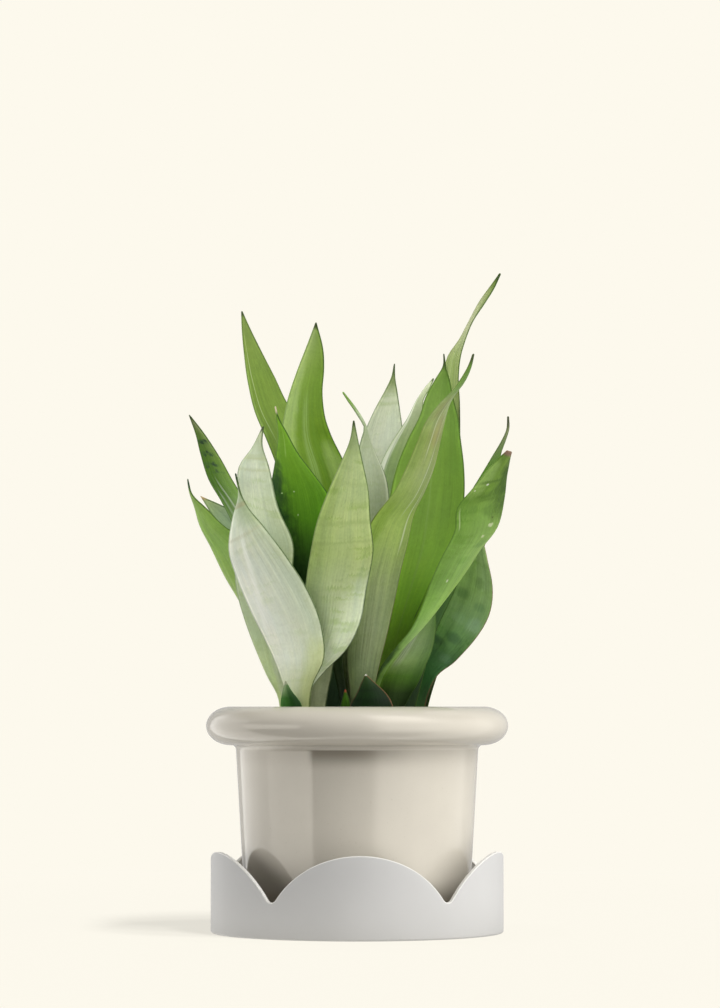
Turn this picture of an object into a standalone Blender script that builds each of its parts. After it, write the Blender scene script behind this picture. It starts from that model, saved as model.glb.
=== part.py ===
"""A snake plant with pale silver leaves, in a glazed pot with a rolled rim, on a scalloped saucer.

The origin is the middle of the saucer's underside, +Z is up, and the plant's front faces -Y.
Sizes below are in millimetres, and seen() and turned() turn them into the scene's metres.
"""

import math
from collections import namedtuple

import bpy
import numpy as np

MM = 0.001
GAP = 0.3  # air left between neighbouring solids

# Saucer: a floor with an upright wall of five lobes, and a rounded notch between each two
SAUCER_RADIUS = 102.0
SAUCER_WALL = 2.8
SAUCER_FLOOR = 3.0
SAUCER_EDGE = 1.6
RIDGE_ROUND = 0.5
LOBES = 5
LOBE_TOP = 57.0
LOBE_ARC = 72.0
NOTCH_FILLET = 8.0
SAUCER_TURN = math.radians(1.2)

# Pot: a tapered body, a small cove under the rim, and the rolled rim
POT_SEGMENTS = 44
POT_FOOT = SAUCER_FLOOR + GAP
POT_TOP = 157.0
BODY_FOOT_RADIUS = 77.5
BODY_TOP_RADIUS = 84.5
BODY_TOP = 126.5
POT_WALL = 7.5
POT_FLOOR = 8.0
FOOT_ROUND = 3.5
FLOOR_FILLET = 5.0
MOUTH_ROUND = 5.5
RIM_RADIUS = 105.4
RIM_HEIGHT = 26.8
RIM_ROLL = 17.0
COVE = 4.0
DRAIN_RADIUS = 8.0

# Soil: it fills the pot to below the rim, a little higher in the middle
SOIL_EDGE = 135.5
SOIL_SHOULDER = 137.8
SOIL_CROWN = 138.5

# Leaves: margins are stated as they are seen from EYE_AWAY in front, level with the pot's rim
EYE_AWAY = 2500.0
RING_STEP = 20.0
STRIPS = 4
EDGE_THICKNESS = 0.8
BLADE_THICKNESS = 2.2
FOOT_THICKER = 1.8
TIP_THINNER = 1.2
FOOT_CUP = 2.2  # how much more a blade is cupped at its foot, and at its tip
TIP_CUP = 0.8
WAVE_SLANT = 1.3  # how far a margin's waves run out of step across the blade
WAVE_FADE = 6.0  # the waves fade over the last sixth of the blade

SILVER = (0.62, 0.66, 0.52)
SAGE = (0.42, 0.52, 0.22)
GREEN = (0.16, 0.32, 0.06)
DEEP_GREEN = (0.06, 0.17, 0.03)
BLUE_GREEN = (0.16, 0.28, 0.16)
OLIVE = (0.26, 0.34, 0.15)
POT_CREAM = (0.66, 0.60, 0.50)
SAUCER_GREY = (0.60, 0.60, 0.58)
SOIL_BROWN = (0.035, 0.024, 0.016)

Leaf = namedtuple("Leaf", "name tone depth swing cup wave margins")

# Each leaf: its tone, how deep it stands at even steps from base to tip (negative is nearer the
# viewer), how far its right margin swings back behind its middle at such steps, how much it bellies
# towards the viewer for its half width (negative is hollow), its edge's waves (height, count),
# and its two margins in pairs from base to tip: left across, left up, right across, right up.
# A leaf's first two pairs are its foot, which stands straight in the soil from 118 up to 146.
LEAVES = [
    Leaf("leaf_silver_front_left", SILVER, (-34, -50, -72, -92), (0, -5, -6, 0), 0.16, (0.6, 3), [
        (-38, 118, -29, 118), (-46, 146, -33, 146), (-51, 170, -31, 172), (-57, 187, -23, 190),
        (-65, 205, -25, 214), (-75, 225, -35, 239), (-84, 246, -49, 262), (-90, 270, -66, 284),
        (-87, 290, -76, 296), (-83, 305, -81, 306), (-85.5, 320, -84.5, 320)]),
    Leaf("leaf_sage_front_centre", SAGE, (-24, -44, -66, -82), (0, -2, -2, 0), 0.18, (0.6, 3), [
        (-41, 118, -31, 118), (-42, 146, -33, 146), (-42, 164, -34, 165), (-40, 182, -23, 181),
        (-39, 197, -8, 196), (-37.5, 215, 1, 212), (-36, 243, 7, 241), (-33, 263, 11.5, 265),
        (-28, 287, 9.5, 288), (-19, 311, 8, 309), (-11, 329, 4.5, 326), (-5, 344, 1, 343),
        (-2.8, 357, -1.8, 357)]),
    Leaf("leaf_silver_left", SILVER, (-20, -38, -58, -70), (0, -6, -6, 0), 0.14, (0.8, 3), [
        (-53, 118, -45, 118), (-53, 146, -44, 146), (-55, 164, -45, 163), (-63, 178, -45, 180),
        (-71, 196, -42, 203), (-79, 219, -43, 225), (-85, 243, -45, 250), (-86, 275, -44.5, 272),
        (-83, 305, -56, 299), (-82, 327, -62, 326), (-74, 338, -66, 339), (-66.3, 353, -65.3, 353)]),
    Leaf(
        "leaf_deep_green_centre_left", DEEP_GREEN, (-10, -22, -34, -40), (0, -4, -4, 0), 0.12, (0.6, 2), [
            (-32, 118, -22, 118), (-33, 146, -22, 146), (-36, 163, -21, 163), (-41, 180, -17, 183),
            (-49, 208, -14, 213), (-57, 240, -14, 245), (-62, 272, -15, 277), (-63, 299, -19, 303),
            (-59, 320, -29, 318), (-57, 333, -41, 334), (-55.5, 347, -49, 349),
            (-56.7, 361, -55.3, 361), (-57.7, 367, -56.9, 367)]),
    Leaf("leaf_tall_left", GREEN, (10, 22, 32, 38), (0, 8, 13, 0), -0.14, (0.6, 3), [
        (-20, 118, -11, 118), (-21, 146, -11, 146), (-25, 170, -9, 170), (-32, 205, -4, 208),
        (-40, 245, -5, 252), (-48, 285, -12, 295), (-56, 325, -27, 338), (-64, 345, -40, 357),
        (-72, 363, -49, 370), (-77, 384, -57, 387), (-79.5, 405, -67, 406), (-81, 423, -75, 422),
        (-81.4, 434, -80.4, 434)]),
    Leaf("leaf_tall_centre_left", GREEN, (2, 0, -4, -6), (0, 4, 8, 0), -0.14, (0.8, 3), [
        (-9, 118, 1, 118), (-10, 146, 1, 146), (-14, 170, 4, 170), (-22, 205, 8, 208),
        (-32, 245, 9, 250), (-42, 285, 2, 292), (-50, 320, -8, 325), (-53.5, 348, -19, 349),
        (-51, 364, -22.5, 361), (-48, 376, -24, 376), (-42, 393, -23, 394), (-35, 411, -24, 409),
        (-29.4, 426, -28.4, 426)]),
    Leaf("leaf_banded_left", DEEP_GREEN, (6, 0, -4, -8), (0, -10, -15, 0), -0.12, (0.5, 2), [
        (-46, 118, -37, 118), (-47, 146, -38, 146), (-56, 178, -42, 180), (-68, 214, -48, 222),
        (-77, 248, -57, 258), (-85, 280, -70, 288), (-95, 301, -80, 303), (-104, 316, -88, 316),
        (-110, 334, -96, 331), (-113.5, 348, -107, 348), (-118, 361, -117.2, 361)]),
    Leaf("leaf_outer_left", GREEN, (-6, -16, -28, -38), (0, -8, -12, 0), 0.12, (0.6, 2), [
        (-49, 118, -40, 118), (-49, 146, -40, 146), (-57, 172, -41, 172), (-68, 200, -48, 204),
        (-82, 229, -58, 235), (-93, 249, -70, 262), (-103, 270, -82, 276), (-110, 283, -93, 283),
        (-114, 296, -105, 295.5), (-117, 306, -115.5, 306), (-119, 316, -118.2, 316)]),
    Leaf("leaf_blue_left", BLUE_GREEN, (14, 18, 20, 20), (0, -4, -3, 0), -0.12, (0.6, 2), [
        (-36, 118, -27, 118), (-38, 146, -28, 146), (-48, 178, -34, 182), (-62, 214, -46, 224),
        (-76, 246, -60, 262), (-90, 272, -78, 288), (-103, 293, -95, 298),
        (-109.7, 304, -109, 304)]),
    Leaf("leaf_curled_tip_centre", SILVER, (-8, -16, -26, -34), (0, 5, 8, 0), 0.14, (0.6, 3), [
        (-10, 118, -2, 118), (-10, 146, -1, 146), (-8, 168, 3, 168), (-10, 185, 8, 186),
        (-11, 215, 14, 216), (-10, 250, 19, 250), (-8, 290, 22.5, 290), (-5, 320, 19.5, 320),
        (0, 336, 12.5, 336), (3, 346, 8.5, 346), (4.8, 352, 6.6, 352), (1.4, 359, 3, 360),
        (-2.6, 365.3, -1.2, 366.5), (-7.2, 371.8, -6, 373), (-10.3, 376.7, -9.5, 377.5)]),
    Leaf("leaf_olive_twisted", OLIVE, (-22, -36, -52, -62), (0, 2, 3, 8, 16, 13, 1), 0.10, (0.6, 3), [
        (-1, 118, 9, 118), (-3, 146, 10, 146), (-5, 168, 12, 168), (-7, 187, 16, 187),
        (-6.5, 205, 20.5, 205), (-5, 228, 26, 230), (-2, 250, 31, 253), (3, 270, 36, 272),
        (11, 288, 40, 291), (27, 308, 47, 307), (35, 325, 53.5, 324), (42, 343, 59, 345),
        (49, 359, 63, 361), (58, 370, 65.5, 370), (66, 377.5, 69, 377), (72, 385.5, 75, 384.5),
        (78, 396, 80, 395.5), (81, 404, 82, 404)]),
    Leaf("leaf_pale_back", SILVER, (26, 44, 60, 72), (0, 5, 8, 0), -0.12, (0.6, 3), [
        (6, 118, 15, 118), (5, 146, 15, 146), (2, 175, 18, 175), (-2, 215, 22, 215),
        (-5, 255, 26, 255), (-6, 290, 30, 292), (-2, 325, 34, 328), (4, 347, 32, 352),
        (12, 365, 30, 366), (20, 379.5, 28, 379), (24, 388, 26.7, 387), (25.7, 397, 26.5, 397)]),
    Leaf("leaf_arched_back", SAGE, (18, 32, 44, 50), (0, -6, -8, 0), -0.12, (0.5, 3), [
        (17, 118, 26, 118), (16, 146, 26, 146), (13, 180, 28, 180), (10, 220, 34, 222),
        (9, 260, 40, 262), (10, 295, 46, 298), (17, 328, 50, 325), (26, 345, 50, 345),
        (34.5, 358, 47, 357), (42, 373, 46.5, 372), (48, 381.5, 51, 380), (53, 387, 53.8, 386.4)]),
    Leaf("leaf_broad_green_right", GREEN, (6, 18, 26, 30), (0, -3, -4, 0), -0.14, (0.8, 3), [
        (13, 118, 23, 118), (13, 146, 24, 146), (12, 172, 28, 172), (12, 200, 38, 205),
        (14, 235, 54, 236), (18, 270, 69, 268), (22, 300, 75, 300), (28, 326, 75, 325),
        (36, 345, 72.5, 345), (44, 361, 70.5, 361), (47.5, 373, 67.5, 373), (54, 385.5, 65, 386),
        (60, 396, 62.2, 396), (60.4, 404, 61.2, 404)]),
    Leaf("leaf_tallest_right", SAGE, (28, 42, 54, 62), (0, -3, -7, -7, -1), -0.10, (0.5, 3), [
        (24, 118, 33, 118), (24, 146, 34, 146), (26, 180, 40, 180), (30, 220, 52, 222),
        (36, 262, 64, 264), (42, 305, 71, 305), (48, 345, 72.5, 344), (55, 370, 72.3, 370),
        (60, 388, 71.2, 388), (64, 403, 72.5, 403), (71.5, 414, 75.5, 414), (78.6, 428, 80.8, 427),
        (86, 442, 90, 440.5), (94, 453, 96.5, 451), (99.8, 461, 100.6, 460.3)]),
    Leaf("leaf_scarred_right", GREEN, (-8, -26, -46, -62), (1, 5, 12, 6), 0.14, (0.8, 3), [
        (3, 118, 10, 118), (4, 146, 11, 146), (9, 166, 13, 165), (15, 181, 17.5, 179.5),
        (25, 195, 29, 196), (36, 209, 44, 211), (45.5, 229, 61, 230), (52, 245, 75, 249),
        (60, 262, 86, 267), (68, 280, 99, 284), (70, 297, 104, 304), (82, 311, 105.3, 318),
        (96, 328, 106.6, 327), (105, 336.5, 108, 335.5)]),
    Leaf("leaf_hooked_right", GREEN, (4, 3, -2, -8), (0, 5, 8, 1), -0.12, (0.5, 2), [
        (30, 118, 38, 118), (30, 146, 39, 146), (34, 176, 46, 176), (41, 206, 55, 208),
        (52, 236, 68, 238), (64, 266, 80, 268), (72, 290, 91, 290), (78, 305, 97, 306),
        (86, 318, 100, 319), (94, 330.5, 101, 334), (101, 342, 104, 343), (105, 351, 106.6, 352),
        (105.6, 360, 106.4, 360)]),
    Leaf("leaf_dark_outer_right", BLUE_GREEN, (12, 10, 10, 12), (0, -5, -6, 0), -0.12, (1.4, 4), [
        (34, 118, 44, 118), (34, 146, 45, 146), (35, 166, 50, 165), (38, 187, 57, 180),
        (44, 208, 69, 189), (50, 226, 83, 204), (57, 243, 93, 224), (64, 259, 95, 243),
        (70, 273, 91, 261), (77, 287, 87.5, 276), (83, 300, 84.5, 299.5)]),
    Leaf("leaf_short_right", GREEN, (-4, -6, -8, -10), (0, 2, 3, 0), 0.14, (0.6, 2), [
        (17, 118, 27, 118), (16, 146, 29, 146), (14.5, 165, 37.5, 165), (14, 177, 43, 174),
        (17.5, 185, 48, 186), (24, 193, 52, 195), (32, 203, 54.5, 205), (40, 213, 55.5, 214),
        (48, 224, 55, 223), (54, 235, 55, 234.5)]),
    Leaf("young_leaf_front_left", DEEP_GREEN, (-48, -55, -60), (0, 0, 0), 0.25, (0, 1), [
        (-50, 118, -42, 118), (-51, 146, -41, 146), (-53.5, 158, -38.5, 158),
        (-52, 168, -46, 168.5), (-50.2, 174.5, -49.5, 174.5)]),
    Leaf("young_leaf_front_centre", DEEP_GREEN, (-40, -44, -46), (0, 0, 0), 0.25, (0, 1), [
        (0, 118, 14, 118), (-3, 146, 21, 146), (-5, 158, 25, 158), (-1, 165, 21, 165.5),
        (3.5, 175, 10.5, 175.5), (5.7, 179.3, 6.4, 179.3)]),
    Leaf("young_leaf_small_centre", GREEN, (-34, -36, -38), (0, 0, 0), 0.25, (0, 1), [
        (-12, 118, -6, 118), (-12, 146, -5, 146), (-11.5, 158, -4.5, 158),
        (-8.7, 168.5, -7.8, 168.5)]),
    Leaf("leaf_rear_left", GREEN, (38, 62, 80, 90), (0, 1, 2, 0), -0.16, (0.6, 3), [
        (-30, 118, -21, 118), (-31, 146, -21, 146), (-37, 185, -16, 185), (-45, 230, -10, 232),
        (-50, 280, -10, 282), (-49, 320, -16, 322), (-47, 350, -24, 352), (-43, 370, -30, 371),
        (-38.5, 384, -37.5, 384)]),
    Leaf("leaf_rear_centre", SAGE, (44, 68, 88, 98), (0, -3, -4, 0), -0.16, (0.6, 3), [
        (0, 118, 9, 118), (0, 146, 10, 146), (-3, 185, 18, 185), (-6, 230, 26, 230),
        (-8, 275, 30, 275), (-5, 310, 30, 312), (2, 335, 28, 338), (10, 354, 26, 356),
        (19, 372, 20, 372)]),
    Leaf("leaf_rear_right", SILVER, (36, 50, 68, 82), (0, -6, -10, 0), -0.16, (0.7, 3), [
        (16, 118, 25, 118), (16, 146, 26, 146), (16, 185, 36, 184), (20, 230, 48, 228),
        (26, 275, 60, 272), (34, 315, 66, 312), (45, 345, 68, 345), (55, 368, 67, 369),
        (62.5, 388, 63.5, 388)]),
    Leaf("leaf_rear_far_left", SILVER, (24, 38, 48, 56), (0, 6, 9, 0), -0.16, (0.6, 2), [
        (-40, 118, -31, 118), (-41, 146, -32, 146), (-52, 185, -32, 188), (-64, 225, -36, 230),
        (-74, 262, -42, 268), (-78, 290, -52, 296), (-76, 308, -62, 311), (-71, 324, -70, 324)]),
    Leaf("leaf_rear_far_right", GREEN, (28, 44, 56, 64), (0, -10, -14, 0), -0.16, (0.6, 2), [
        (38, 118, 46, 118), (38, 146, 47, 146), (43, 180, 55, 178), (55, 215, 70, 211),
        (65, 245, 82, 240), (72, 272, 88, 267), (80, 294, 96, 292), (88, 309, 97, 308),
        (94, 319, 95, 319)]),
    Leaf("leaf_rear_centre_left", DEEP_GREEN, (48, 76, 96, 106), (0, 3, 4, 0), -0.16, (0.6, 3), [
        (-17, 118, -8, 118), (-17, 146, -8, 146), (-26, 185, -9, 188), (-37, 230, -14, 238),
        (-46, 275, -20, 282), (-54, 312, -32, 320), (-60, 340, -44, 347), (-62, 358, -55, 362),
        (-62.5, 374, -61.5, 374)]),
    Leaf("young_leaf_rear", GREEN, (57, 72, 84), (0, 0, 0), -0.25, (0, 1), [
        (4, 118, 12, 118), (3, 146, 13, 146), (0, 165, 15, 165), (1, 185, 13, 185),
        (5, 205, 9, 205), (6.6, 214, 7.4, 214)]),
]


def clear_scene():
    for old in list(bpy.data.objects):
        bpy.data.objects.remove(old, do_unlink=True)


def finish_of(name, colour, roughness, metallic=0.0):
    """A plain Principled material."""
    material = bpy.data.materials.new(name)
    material.use_nodes = True
    shader = material.node_tree.nodes["Principled BSDF"]
    shader.inputs["Base Color"].default_value = (*colour, 1.0)
    shader.inputs["Roughness"].default_value = roughness
    shader.inputs["Metallic"].default_value = metallic
    material.diffuse_color = (*colour, 1.0)
    return material


def solid(name, points, faces, material=None, crease=40.0):
    """One object from points in metres and faces that point out, shaded smooth up to the crease."""
    mesh = bpy.data.meshes.new(name)
    mesh.from_pydata([tuple(p) for p in points], [], faces)
    mesh.shade_smooth()
    mesh.set_sharp_from_angle(angle=math.radians(crease))
    if material:
        mesh.materials.append(material)
    item = bpy.data.objects.new(name, mesh)
    bpy.context.scene.collection.objects.link(item)
    return item


def turned(outline, segments, closed):
    """Points and faces of an outline of (radius, height) turned about Z.

    The outline runs up the outside and down the inside. A closed one comes back to its start, and
    an open one starts and ends on the axis.
    """
    rings = outline if closed else outline[1:-1]
    points = []
    for radius, height in rings:
        for k in range(segments):
            angle = 2 * math.pi * k / segments
            points.append((radius * math.cos(angle) * MM, radius * math.sin(angle) * MM, height * MM))
    faces = []
    for i in range(len(rings) if closed else len(rings) - 1):
        low = i * segments
        high = (i + 1) % len(rings) * segments
        for k in range(segments):
            on = (k + 1) % segments
            faces.append((low + k, low + on, high + on, high + k))
    if not closed:
        foot, top = len(points), len(points) + 1
        points += [(0.0, 0.0, outline[0][1] * MM), (0.0, 0.0, outline[-1][1] * MM)]
        last = (len(rings) - 1) * segments
        for k in range(segments):
            on = (k + 1) % segments
            faces.append((foot, on, k))
            faces.append((top, last + k, last + on))
    return points, faces


def lobe_height(along):
    """Height of the saucer's wall at a distance along it from the middle of a lobe."""
    half = math.pi * SAUCER_RADIUS / LOBES
    reach = LOBE_ARC + NOTCH_FILLET
    drop = math.sqrt(reach**2 - half**2)
    meet = half * LOBE_ARC / reach
    if abs(along) <= meet:
        return LOBE_TOP - LOBE_ARC + math.sqrt(LOBE_ARC**2 - along**2)
    return LOBE_TOP - LOBE_ARC + drop - math.sqrt(NOTCH_FILLET**2 - (half - abs(along)) ** 2)


def saucer_angles(steps=18):
    """Angles round the wall, closer together at the notches, starting at a notch."""
    half = math.pi / LOBES
    for lobe in range(LOBES):
        middle = -math.pi / 2 + SAUCER_TURN + 2 * half * lobe
        for k in range(steps):
            t = 2 * k / steps - 1
            yield middle, half * (0.45 * t + 0.55 * math.sin(math.pi * t / 2))


def make_saucer():
    sections = []
    for middle, turn in saucer_angles():
        top = lobe_height(turn * SAUCER_RADIUS)
        outside, inside = SAUCER_RADIUS, SAUCER_RADIUS - SAUCER_WALL
        ridge = SAUCER_RADIUS - SAUCER_WALL / 2
        section = [
            (outside - SAUCER_EDGE, 0.0),
            (outside, SAUCER_EDGE),
            (outside, top - RIDGE_ROUND),
            (ridge, top),
            (inside, top - RIDGE_ROUND),
            (inside, SAUCER_FLOOR),
        ]
        across, along = math.cos(middle + turn) * MM, math.sin(middle + turn) * MM
        sections.append([(r * across, r * along, z * MM) for r, z in section])
    points = [point for section in sections for point in section]
    rows, count = len(sections[0]), len(sections)
    faces = []
    for k in range(count):
        here, on = k * rows, (k + 1) % count * rows
        for i in range(rows - 1):
            faces.append((here + i, on + i, on + i + 1, here + i + 1))
    under, over = len(points), len(points) + 1
    points += [(0.0, 0.0, 0.0), (0.0, 0.0, SAUCER_FLOOR * MM)]
    for k in range(count):
        here, on = k * rows, (k + 1) % count * rows
        faces.append((under, on, here))
        faces.append((over, here + rows - 1, on + rows - 1))
    return solid("saucer", points, faces, finish_of("saucer finish", SAUCER_GREY, 0.55), 35.0)


def body_radius(height):
    """Outer radius of the pot's tapered body."""
    share = (height - POT_FOOT) / (BODY_TOP - POT_FOOT)
    return BODY_FOOT_RADIUS + share * (BODY_TOP_RADIUS - BODY_FOOT_RADIUS)


def inner_radius(height):
    return body_radius(min(height, BODY_TOP)) - POT_WALL


def arc(middle, reach, start, end, steps):
    """Points (radius, height) on an arc between two angles in degrees, both ends included."""
    for k in range(steps + 1):
        angle = math.radians(start + (end - start) * k / steps)
        yield middle[0] + reach[0] * math.cos(angle), middle[1] + reach[1] * math.sin(angle)


def floor_edge(floor, gap=0.0):
    """The pot's inside where its wall meets its floor, from the wall down, or a gap inside that."""
    wall = (inner_radius(floor + FLOOR_FILLET) - gap, floor + FLOOR_FILLET)
    return [wall, (inner_radius(floor) - FLOOR_FILLET - gap, floor)]


def pot_outline():
    """The pot's section as (radius, height), up the outside and down the inside."""
    foot = (BODY_FOOT_RADIUS - FOOT_ROUND, POT_FOOT + FOOT_ROUND)
    cove = (BODY_TOP_RADIUS + COVE, BODY_TOP)
    roll = (RIM_RADIUS - RIM_ROLL, POT_TOP - RIM_HEIGHT / 2)
    mouth = inner_radius(POT_TOP)
    lip = (mouth + MOUTH_ROUND, POT_TOP - MOUTH_ROUND)
    floor = POT_FOOT + POT_FLOOR
    outline = [(DRAIN_RADIUS, POT_FOOT)]
    outline += arc(foot, (FOOT_ROUND, FOOT_ROUND), -90, 0, 2)
    outline += arc(cove, (COVE, COVE), 180, 90, 3)
    outline += arc(roll, (RIM_ROLL, RIM_HEIGHT / 2), -90, 90, 10)
    outline += arc(lip, (MOUTH_ROUND, MOUTH_ROUND), 90, 180, 3)
    outline += [(mouth, BODY_TOP), *floor_edge(floor), (DRAIN_RADIUS, floor)]
    return outline


def make_pot():
    points, faces = turned(pot_outline(), POT_SEGMENTS, closed=True)
    return solid("pot", points, faces, finish_of("pot glaze", POT_CREAM, 0.18))


def flow(stops, values, at):
    """Values at their stops, joined by a smooth curve and read at one place."""
    values = np.array(values, float).reshape(len(stops), -1)
    steps = np.diff(stops)
    slopes = np.diff(values, axis=0) / steps[:, None]
    before, after = steps[:-1, None], steps[1:, None]
    bends = (slopes[:-1] * after + slopes[1:] * before) / (before + after)
    bends = np.vstack([slopes[:1], bends, slopes[-1:]])
    i = int(np.clip(np.searchsorted(stops, at, side="right") - 1, 0, len(steps) - 1))
    t = (at - stops[i]) / steps[i]
    ends = (2 * t**3 - 3 * t**2 + 1) * values[i] + (3 * t**2 - 2 * t**3) * values[i + 1]
    pulls = (t**3 - 2 * t**2 + t) * bends[i] + (t**3 - t**2) * bends[i + 1]
    return ends + pulls * steps[i]


def along_leaf(leaf):
    """Each margin pair's share of the way from base to tip, and the leaf's length."""
    margins = np.array(leaf.margins, float)
    middles = (margins[:, :2] + margins[:, 2:]) / 2
    walked = np.concatenate([[0.0], np.cumsum(np.linalg.norm(np.diff(middles, axis=0), axis=1))])
    return walked / walked[-1], walked[-1]


def ring_places(stops, length):
    """A place at each margin pair, and even ones between pairs that lie far apart.

    The foot, between the first two pairs, stands straight in its hole.
    """
    places = [0.0, stops[1]]
    for low, high in zip(stops[1:-1], stops[2:]):
        parts = max(1, round((high - low) * length / RING_STEP))
        places += [low + (high - low) * (k + 1) / parts for k in range(parts)]
    return places


def even(values, at):
    return flow(np.linspace(0.0, 1.0, len(values)), values, at)[0]


def frame_at(leaf, stops, at):
    """Middle of the leaf and the way from there to its right margin, both as seen."""
    left, left_up, right, right_up = flow(stops, leaf.margins, at)
    middle = np.array([(left + right) / 2, even(leaf.depth, at), (left_up + right_up) / 2])
    half = np.array([(right - left) / 2, even(leaf.swing, at), (right_up - left_up) / 2])
    return middle, half


def leaf_surface(leaf, places, stops, grow=0.0):
    """The leaf's middle surface as seen: a row of points from margin to margin at each place."""
    height, count = leaf.wave
    rows = []
    for at in places:
        middle, half = frame_at(leaf, stops, at)
        behind = frame_at(leaf, stops, max(0.0, at - 0.01))[0]
        ahead = frame_at(leaf, stops, min(1.0, at + 0.01))[0]
        belly = np.cross(half, ahead - behind)
        belly /= np.linalg.norm(belly)
        width = np.linalg.norm(half)
        channel = leaf.cup * width * (1 + FOOT_CUP * (1 - at) ** 3 + TIP_CUP * at**6)
        fade = min(1.0, WAVE_FADE * (1 - at))
        row = []
        for k in range(STRIPS + 1):
            u = 2 * k / STRIPS - 1
            ripple = height * math.sin(2 * math.pi * count * at + WAVE_SLANT * u) * abs(u) ** 3
            spread = half * u * (1 + grow / width)
            row.append(middle + spread + belly * (channel * (1 - u * u) + ripple * fade))
        rows.append(row)
    return np.array(rows)


def seen(points):
    """Where points really are that show at these places in the plane of the pot's axis."""
    nearness = 1 + points[..., 1] / EYE_AWAY
    real = points.copy()
    real[..., 0] *= nearness
    real[..., 2] = POT_TOP + (points[..., 2] - POT_TOP) * nearness
    return real * MM


def leaf_solid(leaf, places, stops, grow=0.0):
    """Points and faces of the blade: the surface thickened both ways, thickest along its middle."""
    surface = seen(leaf_surface(leaf, places, stops, grow))
    up = np.gradient(surface, axis=0)
    over = np.gradient(surface, axis=1)
    normals = np.cross(over, up)
    normals /= np.linalg.norm(normals, axis=2, keepdims=True)
    share = np.array(places)[:, None]
    u = np.linspace(-1.0, 1.0, STRIPS + 1)[None, :]
    thickest = BLADE_THICKNESS + FOOT_THICKER * (1 - share) ** 3 - TIP_THINNER * share**4
    thickness = EDGE_THICKNESS + (thickest - EDGE_THICKNESS) * (1 - u * u) + 2 * grow
    offset = normals * thickness[..., None] / 2 * MM
    points = np.concatenate([(surface + offset).reshape(-1, 3), (surface - offset).reshape(-1, 3)])
    across = STRIPS + 1
    count = len(places) * across
    faces = []
    for i in range(len(places) - 1):
        for j in range(STRIPS):
            a, b = i * across + j, i * across + j + 1
            c, d = b + across, a + across
            faces += [(a, b, c), (a, c, d)]
            faces += [(a + count, c + count, b + count), (a + count, d + count, c + count)]
        for side, turned_round in ((STRIPS, False), (0, True)):
            a = i * across + side
            quad = (a, a + count, a + across + count, a + across)
            faces.append(quad[::-1] if turned_round else quad)
    for row, turned_round in ((0, False), (len(places) - 1, True)):
        for j in range(STRIPS):
            a = row * across + j
            quad = (a, a + count, a + 1 + count, a + 1)
            faces.append(quad[::-1] if turned_round else quad)
    return points, faces


def make_leaf(leaf):
    stops, length = along_leaf(leaf)
    points, faces = leaf_solid(leaf, ring_places(stops, length), stops)
    return solid(leaf.name, points, faces, finish_of(leaf.name + " blade", leaf.tone, 0.45), 60.0)


def make_hole_cutter(leaf, holder):
    """The leaf's foot with a little air round it, which cuts its hole in the soil."""
    stops, length = along_leaf(leaf)
    places = [at for at in ring_places(stops, length) if at <= stops[1] + 1e-9]
    points, faces = leaf_solid(leaf, places, stops, GAP)
    across = STRIPS + 1
    for side in (0, len(places) * across):
        points[side:side + across, 2] -= GAP * MM
    cutter = solid(leaf.name + "_hole", points, faces)
    cutter.hide_render = True
    cutter.display_type = "WIRE"
    bpy.context.scene.collection.objects.unlink(cutter)
    holder.objects.link(cutter)


def make_soil():
    floor = POT_FOOT + POT_FLOOR + GAP
    edge = inner_radius(SOIL_EDGE) - GAP
    outline = [(0.0, floor), *reversed(floor_edge(floor, GAP)), (edge, BODY_TOP), (edge, SOIL_EDGE)]
    outline += [(0.6 * edge, SOIL_SHOULDER), (0.0, SOIL_CROWN)]
    points, faces = turned(outline, POT_SEGMENTS, closed=False)
    soil = solid("soil", points, faces, finish_of("soil", SOIL_BROWN, 0.95))
    holes = bpy.data.collections.new("leaf holes")
    bpy.context.scene.collection.children.link(holes)
    for leaf in LEAVES:
        make_hole_cutter(leaf, holes)
    cut = soil.modifiers.new("leaf holes", "BOOLEAN")
    cut.operation = "DIFFERENCE"
    cut.operand_type = "COLLECTION"
    cut.collection = holes
    cut.solver = "EXACT"
    return soil


def main():
    clear_scene()
    make_saucer()
    make_pot()
    make_soil()
    for leaf in LEAVES:
        make_leaf(leaf)


main()
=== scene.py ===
"""Looks of a potted snake plant: fine blades, a glazed pot, a matt scalloped saucer, crumbly soil.

Every finer piece keeps the form of the frame's solid that it stands for. Sizes are in millimetres
unless a comment says otherwise. Colours of leaves and of the backdrop are as a picture shows them,
from 0 to 255, and those of the pot, the saucer and the soil are linear, from 0 to 1.
"""

import math
import random
from collections import namedtuple

import bpy
import numpy as np
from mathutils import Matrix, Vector, noise


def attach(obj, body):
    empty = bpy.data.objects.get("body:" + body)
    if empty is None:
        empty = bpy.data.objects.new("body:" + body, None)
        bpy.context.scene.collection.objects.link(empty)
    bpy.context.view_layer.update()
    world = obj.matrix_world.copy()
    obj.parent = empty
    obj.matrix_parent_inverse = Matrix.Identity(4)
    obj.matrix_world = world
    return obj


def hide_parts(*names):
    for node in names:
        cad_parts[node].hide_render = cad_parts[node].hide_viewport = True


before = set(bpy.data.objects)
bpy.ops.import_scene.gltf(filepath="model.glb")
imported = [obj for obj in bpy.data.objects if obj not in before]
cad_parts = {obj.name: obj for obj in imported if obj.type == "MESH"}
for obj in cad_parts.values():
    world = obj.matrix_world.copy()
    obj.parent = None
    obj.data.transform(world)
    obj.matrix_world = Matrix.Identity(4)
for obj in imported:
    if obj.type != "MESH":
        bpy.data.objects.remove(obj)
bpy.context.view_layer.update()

MM = 0.001
BODY = "root"

# The camera stands well back, a little below the middle of the plant, and looks slightly up. Its
# place is in metres.
CAMERA_PLACE = (0.002, -2.5, 0.157)
CAMERA_PITCH = 2.438
CAMERA_LENS = 127.67
CAMERA_SHIFT = 0.05

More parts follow.
